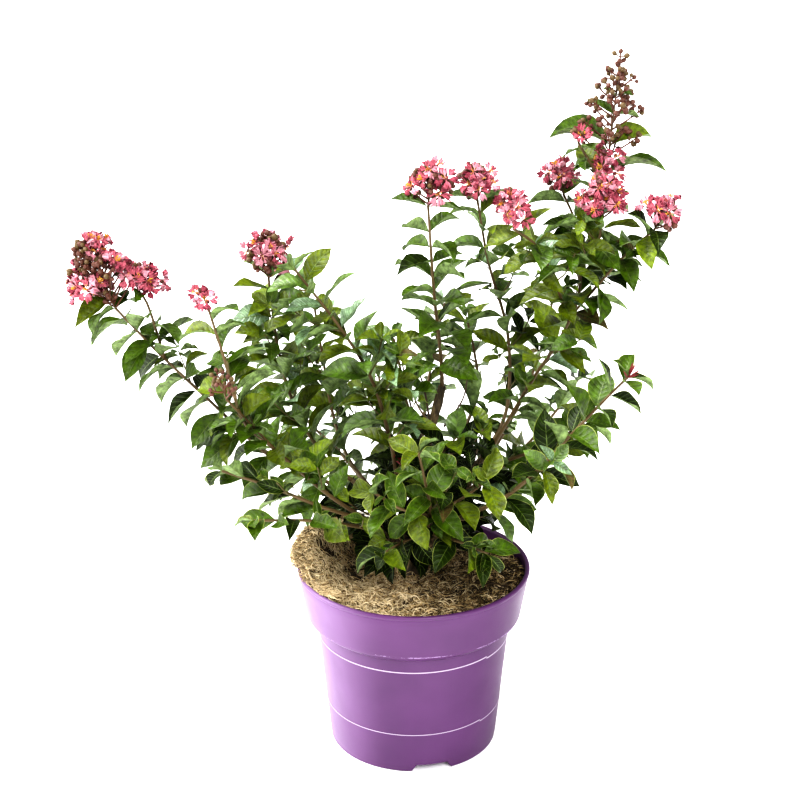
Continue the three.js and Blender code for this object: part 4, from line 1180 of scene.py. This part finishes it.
def make_stems():
    """Reddish tan woody stems, greener twigs and the old dead ones."""
    woody, green, dead = Shape(), Shape(), Shape()
    for crown in crowns.values():
        for stem in crown["wood"]:
            line, radius = stem["line"], stem["radius"]
            shape = green if radius <= TWIG["radius"] else woody
            add_tube(shape, line, radius, stem["tip_radius"], STEM_SIDES, node_swell(line))
        for foot, axis in crown["axes"]:
            add_tube(woody, Line([foot, foot + axis * 0.5, foot + axis]), *AXIS_TUBE)
    for points in DEAD_TWIGS:
        line = smooth_line(points, 5)
        relief = bark_relief(SEEDS["dead_twigs"], line, DEAD_TWIG_TUBE[2])
        add_tube(dead, line, *DEAD_TWIG_TUBE, relief=relief)
    make_plain("dead_twigs", dead, slot="bark", nodes=["bough_old_centre"])
    make_plain("woody_stems", woody, slot="bark")
    make_plain("green_twigs", green)


# ------------------------------------------------------------------ leaves

# Where a blade's points lie along and across it, and the paths of its midrib, side veins and margins.
ALONG = np.array([0, 0.05, 0.14, 0.26, 0.38, 0.5, 0.62, 0.74, 0.85, 0.94, 1])
ACROSS = np.array([1, 0.55, 0, -0.55, -1])
RIB_ALONG = np.array([0, 0.2, 0.4, 0.6, 0.8, 0.97])
RIB_WIDTH = np.array([1.4, 1.2, 1, 0.8, 0.6, 0.4])
VEIN_STARTS = (0.14, 0.27, 0.4, 0.53, 0.66)
VEIN_ACROSS = np.array([0, 0.35, 0.7, 0.9])
VEIN_WIDTH = np.array([0.65, 0.6, 0.5, 0.3])
MARGIN_ALONG = np.linspace(0.08, 0.99, 9)
MARGIN = dict(across=0.97, width=0.7)

# The height of each over the blade's middle surface.
UNDERSIDE_LIFT, RIB_LIFT, UNDER_RIB_LIFT, VEIN_LIFT, MARGIN_LIFT = -0.4, 0.22, -0.75, 0.25, 0.18


def half_width(s):
    """Half a leaf's width along it, as a share of the greatest: a stalk, an oval and a blunt tip."""
    oval = np.sin(np.pi * np.clip((s - 0.04) / 0.96, 0, 1) ** 0.92)
    point = 1 - 0.12 * smoothstep(s, 0.75, 0.98)
    return np.maximum(oval * point, 0.035)


class Blades:
    """The true surface of many leaves at once: a bent midrib, folded halves and a wavy margin.
    Every measure is (leaves, 1, 1), or (leaves, 1, 1, 3), to spread over rows and columns of points."""

    def __init__(self, leaves):
        keys = ("root", "along", "up", "length", "droop")
        self.root, along, up, self.length, droop = (
            np.array([leaf[key] for leaf in leaves], float)[:, None, None] for key in keys)
        looks = np.array([leaf["looks"] for leaf in leaves])[..., None, None]
        bend, fold, twist, wave, phase, width = (looks[:, k] for k in range(6))
        self.side = np.cross(up, along)
        cos, sin = np.cos(droop)[..., None], np.sin(droop)[..., None]
        self.chord = along * cos - up * sin
        self.up = up * cos + along * sin
        self.bend = np.radians(lerp(*BLADE["bend"], bend))
        self.fold = np.radians(lerp(*BLADE["fold"], fold))
        self.twist = np.radians(BLADE["twist"] * (2 * twist - 1))
        self.wave = lerp(*BLADE["wave"], wave)
        self.phase = 2 * np.pi * phase
        self.half = LEAF["width_share"] * self.length / 2 * lerp(*BLADE["width"], width)
        # where along a leaf its bite is, which for a whole leaf is well past its tip
        self.bitten = np.where((phase * 7) % 1 < BITE["share"], 0.25 + 0.6 * wave, 2)

    def points(self, s, c, lift=0.0):
        """Points at shares s along and c across, each (rows, columns) or spread to it, raised by lift."""
        s, c = np.broadcast_arrays(s, c)
        angle = self.bend * (0.5 - s)
        x = (np.sin(self.bend / 2) - np.sin(angle)) / self.bend * self.length
        z = (np.cos(angle) - np.cos(self.bend / 2)) / self.bend * self.length
        normal = self.up * np.cos(angle)[..., None] - self.chord * np.sin(angle)[..., None]
        twist = (self.twist * s)[..., None]
        side = self.side * np.cos(twist) + normal * np.sin(twist)
        normal = normal * np.cos(twist) - self.side * np.sin(twist)
        bite = 1 - BITE["depth"] * np.exp(-(((s - self.bitten) / BITE["reach"]) ** 2)) * (c > 0)
        half = self.half * half_width(s) * bite
        flat = half * c * np.cos(self.fold)
        wave = self.wave * np.sin(9 * s + self.phase + 2 * c) * c**2 * half_width(s)
        high = half * np.abs(c) ** 1.25 * np.sin(self.fold) + wave + lift
        rib = self.root + self.chord * x[..., None] + self.up * z[..., None]
        return rib + side * flat[..., None] + normal * high[..., None]

    def sheet(self, shape, lift=0, flipped=False):
        """One side of the blades. The lift thins to nothing at the margin."""
        grids = self.points(ALONG[:, None], ACROSS, lift * (1 - np.abs(ACROSS) ** 3))
        uv = np.stack(np.broadcast_arrays(0.5 + ACROSS / 2, ALONG[:, None]), axis=-1)
        shape.add_grids(grids, uvs=np.repeat(uv[None], len(grids), axis=0), flipped=flipped)

    def strips(self, shape, s, c, width, lift):
        """Thin strips over the blades along a path of shares s and c, for ribs, veins and margins."""
        along, across = np.abs(np.gradient(s)), np.abs(np.gradient(c))
        steep = (along / np.maximum(along + across * 0.5, 1e-9))[:, None]
        outward = np.sign(c.sum())
        s, c, width = s[:, None], c[:, None], width[:, None]
        edges = []
        for half in (width / 2, -width / 2):
            s_edge = s - outward * half / self.length * (1 - steep)
            c_edge = np.clip(c + half / self.half * steep, -1, 1)
            edges.append(self.points(s_edge, c_edge, lift))
        shape.add_grids(np.concatenate(edges, axis=2))


# Each kind of leaf: its plain colour and its gloss. The shade kind is painted shade for the leaves in the
# shrub's heart.
LEAF_LOOKS = {
    "shade": ((18, 27, 0), 0.1), "deep": ((30, 44, 0), 0.2), "mid": ((62, 85, 0), 0.35),
    # the cool kind's pale grey-green is partly painted sheen and partly the leaves' own bluish tone
    "olive": ((82, 94, 0), 0.35), "blue": ((77, 103, 26), 0.75), "cool": ((114, 140, 104), 1),
    "fresh": ((98, 114, 10), 0.4), "dry": ((84, 72, 42), 0.2),
}


def deal(leaf, tone):
    """The kind of a leaf: mostly by its spray, a little by itself, drawn towards its shoot's tone if it has
    one, and the shade kind, as painted shade, in the shrub's heart."""
    draw = 0.6 * leaf["spray"] + 0.4 * leaf["looks"][5]
    draw = draw if tone is None else lerp(draw, tone, 0.45)
    odd = (leaf["looks"][0] * 13.7) % 1
    if np.linalg.norm(leaf["root"] - PAINTED_SHADE_HEART["place"]) < PAINTED_SHADE_HEART["reach"]:
        return "shade"
    if odd < 0.015:
        return "dry"
    if odd > 0.975 or (leaf["share"] > 0.88 and odd > 0.86):
        return "fresh"
    for kind, most in (("deep", 0.3), ("mid", 0.52), ("olive", 0.66)):
        if draw < most:
            return kind
    return "cool" if odd > 0.66 else "blue"


def make_leaves():
    """The blades of each kind, their undersides, and the ribs, veins and pale margins that lie on them."""
    kinds = {kind: [] for kind in LEAF_LOOKS}
    margined = []
    for crown in crowns.values():
        for leaf in crown["leaves"]:
            kinds[deal(leaf, crown["shoot"]["tone"])].append(leaf)
        if crown["shoot"]["margins"]:
            margined += crown["leaves"]
    under, shaded, ribs, veins, margins = (Shape() for _ in range(5))
    level = np.zeros(len(RIB_ALONG))
    for kind, leaves in kinds.items():
        top, blades = Shape(), Blades(leaves)
        blades.sheet(top)
        colour, gloss = LEAF_LOOKS[kind]
        make_piece(f"leaves_{kind}", top, leaf_material(f"leaf_{kind}", colour, 0.43, gloss))
        blades.sheet(shaded if kind == "shade" else under, UNDERSIDE_LIFT, flipped=True)
        blades.strips(ribs, RIB_ALONG, level, RIB_WIDTH, RIB_LIFT)
        blades.strips(ribs, RIB_ALONG[::-1], level, RIB_WIDTH[::-1] * 1.4, UNDER_RIB_LIFT)
        for start, side in product(VEIN_STARTS, (1, -1)):
            path = start + 0.2 * VEIN_ACROSS**1.2
            blades.strips(veins, path, side * VEIN_ACROSS, VEIN_WIDTH, VEIN_LIFT)
    even = np.ones(len(MARGIN_ALONG))
    for side in (1, -1):
        Blades(margined).strips(margins, MARGIN_ALONG, side * MARGIN["across"] * even, MARGIN["width"] * even,
                                MARGIN_LIFT)
    # painted shade: the shade kind's undersides are darker than the others
    for name, shape, colour in (("leaf_undersides", under, (112, 130, 82)),
                                ("leaf_shaded_undersides", shaded, (58, 70, 34))):
        make_piece(name, shape, leaf_material(name, colour, 0.6, 0.2))
    make_plain("leaf_ribs", ribs)
    make_plain("leaf_veins", veins)
    make_plain("leaf_margins", margins)


# ------------------------------------------------------------------ flowers

# Rings of a bud as shares of its radius: how far along and how wide. Places along a petal and its half width
# there, places across it, and places along a stamen with its width there.
BUD_RINGS = ((-1.15, 0.05), (-1, 0.42), (-0.62, 0.82), (-0.1, 1), (0.45, 0.88), (0.85, 0.5), (1.2, 0.04))
PETAL_ALONG = np.array([0.02, 0.18, FLORET["claw"], 0.5, 0.66, 0.82, 0.94, 1])[:, None]
PETAL_WIDTH = np.array([0.03, 0.03, 0.05, 0.17, 0.27, 0.33, 0.31, 0.19])[:, None]
PETAL_ACROSS = np.linspace(-1, 1, 9)
STAMEN_ROWS = ((0, 0.3), (0.45, 0.3), (0.8, 0.3), (0.86, 1), (1, 0.8))
SEPAL_ROWS = ((0, 0.4), (0.3, 1.1), (0.65, 0.9), (1, 0.1))

# How often a petal takes each of the plain colours.
PETALS = {"petals_coral": 0.46, "petals_rose": 0.18, "petals_pale": 0.36}


def bud_grid(centre, direction, radius):
    """A round six-ribbed bud, a little longer than wide, with a small point."""
    sides = 2 * BUD["ribs"]
    ribbed = 1 + 0.07 * np.cos(BUD["ribs"] * 2 * np.pi * np.arange(sides) / sides)
    around_it = ring(*square_to(direction), sides)
    return np.array([centre + direction * along * radius + around_it * (wide * radius * ribbed)[:, None]
                     for along, wide in BUD_RINGS])


def petal_grids(random, centre, direction):
    """Six crinkled petals, each a fan on a narrow claw."""
    side, up = square_to(direction)
    phase = random.uniform(0, 2 * np.pi)
    size = FLORET["radius"] * random.uniform(0.85, 1.1)
    t, c = PETAL_ALONG, PETAL_ACROSS
    grids = []
    for k in range(FLORET["petals"]):
        out = around(side, up, phase + 2 * np.pi * (k + random.uniform(-0.15, 0.15)) / FLORET["petals"])
        opening = random.uniform(0.1, 0.75)
        frill = 0.2 * np.sin(12 * c + random.uniform(0, 6)) * smoothstep(t, 0.6, 1)
        reach = size * (t + frill) * math.cos(opening)
        rise = size * (t * math.sin(opening) - 0.25 * t**2)
        crinkle = np.sin(c * random.uniform(7, 10) + 8 * t + random.uniform(0, 6))
        crinkle = crinkle * size * 0.26 * smoothstep(t, 0.34, 0.8)
        edge = 1 + 0.22 * np.sin(11 * c + random.uniform(0, 6)) * smoothstep(t, 0.7, 1)
        wide = size * PETAL_WIDTH * c * edge
        grids.append(centre + out * reach[..., None] + np.cross(direction, out) * wide[..., None]
                     + direction * (rise + crinkle)[..., None])
    return grids


def stamen_grid(random, centre, direction):
    """One thin stamen with a fatter anther at its end, as a flat strip."""
    side, up = square_to(direction)
    out = around(side, up, random.uniform(0, 2 * np.pi))
    lean = random.uniform(0, STAMEN["lean"])
    heading = direction * math.cos(lean) + out * math.sin(lean)
    across = unit(np.cross(heading, side + 0.3 * up))
    length, width = STAMEN["length"], STAMEN["width"]
    rows = []
    for t, wide in STAMEN_ROWS:
        middle = centre + heading * length * t + out * length * 0.15 * t * t
        rows.append([middle - across * wide * width, middle + across * wide * width])
    return rows


def add_floret(random, shapes, centre, facing):
    """Petals in mixed colours round a small cup, with stamens."""
    for petal in petal_grids(random, centre, facing):
        tone = random.choice(list(PETALS), p=list(PETALS.values()))
        shapes[tone].add_grids([petal])
    cup = bud_grid(centre - facing * FLORET["cup_depth"], facing, FLORET["cup_radius"])
    shapes["maroon_buds"].add_grids([cup], closed=True)
    for _ in range(STAMEN["count"]):
        shapes["stamens"].add_grids([stamen_grid(random, centre, facing)])


def add_bud_cluster(random, shapes, foot, end, scale):
    """A bud at a branchlet's end and, where it is long enough, pairs of buds on short stalks below that."""
    along = unit(end - foot)
    reach = np.linalg.norm(end - foot)
    side = unit(np.cross(along, random.normal(0, 1, 3)))
    spots = [(end, end, along)]
    for pair in range(min(2, int(reach / (1.6 * BUD["gap"])))):
        start = end - along * BUD["gap"] * (1 + 1.3 * pair)
        for way in (1, -1):
            direction = unit(0.8 * along + way * side + random.normal(0, 0.25, 3))
            spots.append((start, start + direction * random.uniform(*BUD["stalk"]), direction))
        side = np.cross(along, side)
    for start, centre, direction in spots:
        kind = "maroon_buds" if random.random() < 0.6 else "olive_buds"
        radius = BUD["radius"] * scale * random.uniform(0.72, 1.15)
        shapes[kind].add_grids([bud_grid(centre, direction, radius)], closed=True)
        if start is not centre:
            stalk = Line([start, lerp(start, centre, 0.5), centre])
            add_tube(shapes["flower_stalks"], stalk, *BUD_STALK_TUBE)


def add_spent_bloom(random, shape, tip, direction):
    """The narrow dry sepals that a fallen bloom leaves, as a tuft."""
    for _ in range(SEPAL["count"]):
        lean = unit(direction + random.normal(0, 0.4, 3))
        across = unit(np.cross(lean, random.normal(0, 1, 3)))
        length = random.uniform(*SEPAL["length"])
        rows = [[tip + lean * length * t - across * wide, tip + lean * length * t + across * wide]
                for t, wide in SEPAL_ROWS]
        shape.add_grids([rows])


def make_flowers():
    """Florets, buds and their stalks, dealt into a few plain colours."""
    random = np.random.default_rng(SEEDS["flowers"])
    others = ("stamens", "maroon_buds", "olive_buds", "spent_blooms", "flower_stalks")
    shapes = {name: Shape() for name in (*PETALS, *others)}
    for name, crown in crowns.items():
        for stalk in crown["stalks"]:
            foot, end = stalk["foot"], stalk["end"]
            middle = lerp(foot, end, 0.55) - UP * STALK_SAG
            add_tube(shapes["flower_stalks"], smooth_line([foot, middle, end], 5), *STALK_TUBE)
            if stalk["is_floret"]:
                facing = unit(stalk["out"] + random.normal(0, 0.35, 3) + 0.25 * np.array(LIGHT))
                add_floret(random, shapes, end, facing)
            else:
                add_bud_cluster(random, shapes, foot, end, stalk["bud"])
        for share in crown["shoot"]["spent"]:
            point, tangent, side, _ = stems_by_shoot[name][0][0].at(share)
            direction = unit(tangent + 0.4 * UP) if share == 1 else side
            add_spent_bloom(random, shapes["spent_blooms"], point, direction)
    with_spent = [name for name, shoot in SHOOTS.items() if shoot["spent"]]
    for name, shape in shapes.items():
        make_plain(name, shape, nodes=with_spent if name == "spent_blooms" else list(SHOOTS))


# ------------------------------------------------------------------ camera, floor and light

CAMERA = dict(place=(-0.0165, -2.028, 1.233), tilt=68.62, lens=84.2)
FLOOR_HALF = 30
SKY_STRENGTH = 0.38

# Each sun: the angles it is turned by, its strength, and the width of its disc in degrees.
LIGHTS = {
    "window": ((64, 0, -96), 3.7, 38),
    "overhead": ((22, 0, -110), 3.7, 26),
    "front": ((50, 0, 18), 2.9, 34),
}


def make_camera():
    data = bpy.data.cameras.new("camera")
    data.sensor_width = 36
    data.lens = CAMERA["lens"]
    data.clip_end = 200
    camera = add_object("camera", data)
    camera.location = CAMERA["place"]
    camera.rotation_euler = (math.radians(CAMERA["tilt"]), 0, 0)
    bpy.context.scene.camera = camera


def make_stage():
    """A wide plain floor that renders white."""
    mesh = bpy.data.meshes.new("floor")
    corners = [(x * FLOOR_HALF, y * FLOOR_HALF, 0) for x, y in ((-1, -1), (1, -1), (1, 1), (-1, 1))]
    mesh.from_pydata(corners, [], [(0, 1, 2, 3)])
    surface = Surface("floor")
    surface.feed(surface.shader, {"Base Color": (0.98, 0.98, 0.98, 1), "Roughness": 0.9})
    mesh.materials.append(surface.material)
    floor = add_object("floor", mesh)


def make_lights():
    world = bpy.data.worlds.new("studio")
    world.use_nodes = True
    background = world.node_tree.nodes["Background"].inputs
    background["Color"].default_value = (1, 1, 1, 1)
    background["Strength"].default_value = SKY_STRENGTH
    scene = bpy.context.scene
    scene.world = world
    scene.view_settings.view_transform = "Standard"
    scene.view_settings.look = "High Contrast"
    for name, (rotation, energy, angle) in LIGHTS.items():
        data = bpy.data.lights.new(name, "SUN")
        data.energy = energy
        data.angle = math.radians(angle)
        add_object(name, data).rotation_euler = [math.radians(turn) for turn in rotation]


make_camera()
make_pot()
make_lines()
make_mat()
make_fibres()
make_bark()
make_stems()
make_leaves()
make_flowers()
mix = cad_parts["potting_mix"].data
mix.materials.clear()
mix.materials.append(mix_material())
make_stage()
make_lights()

bpy.context.view_layer.update()
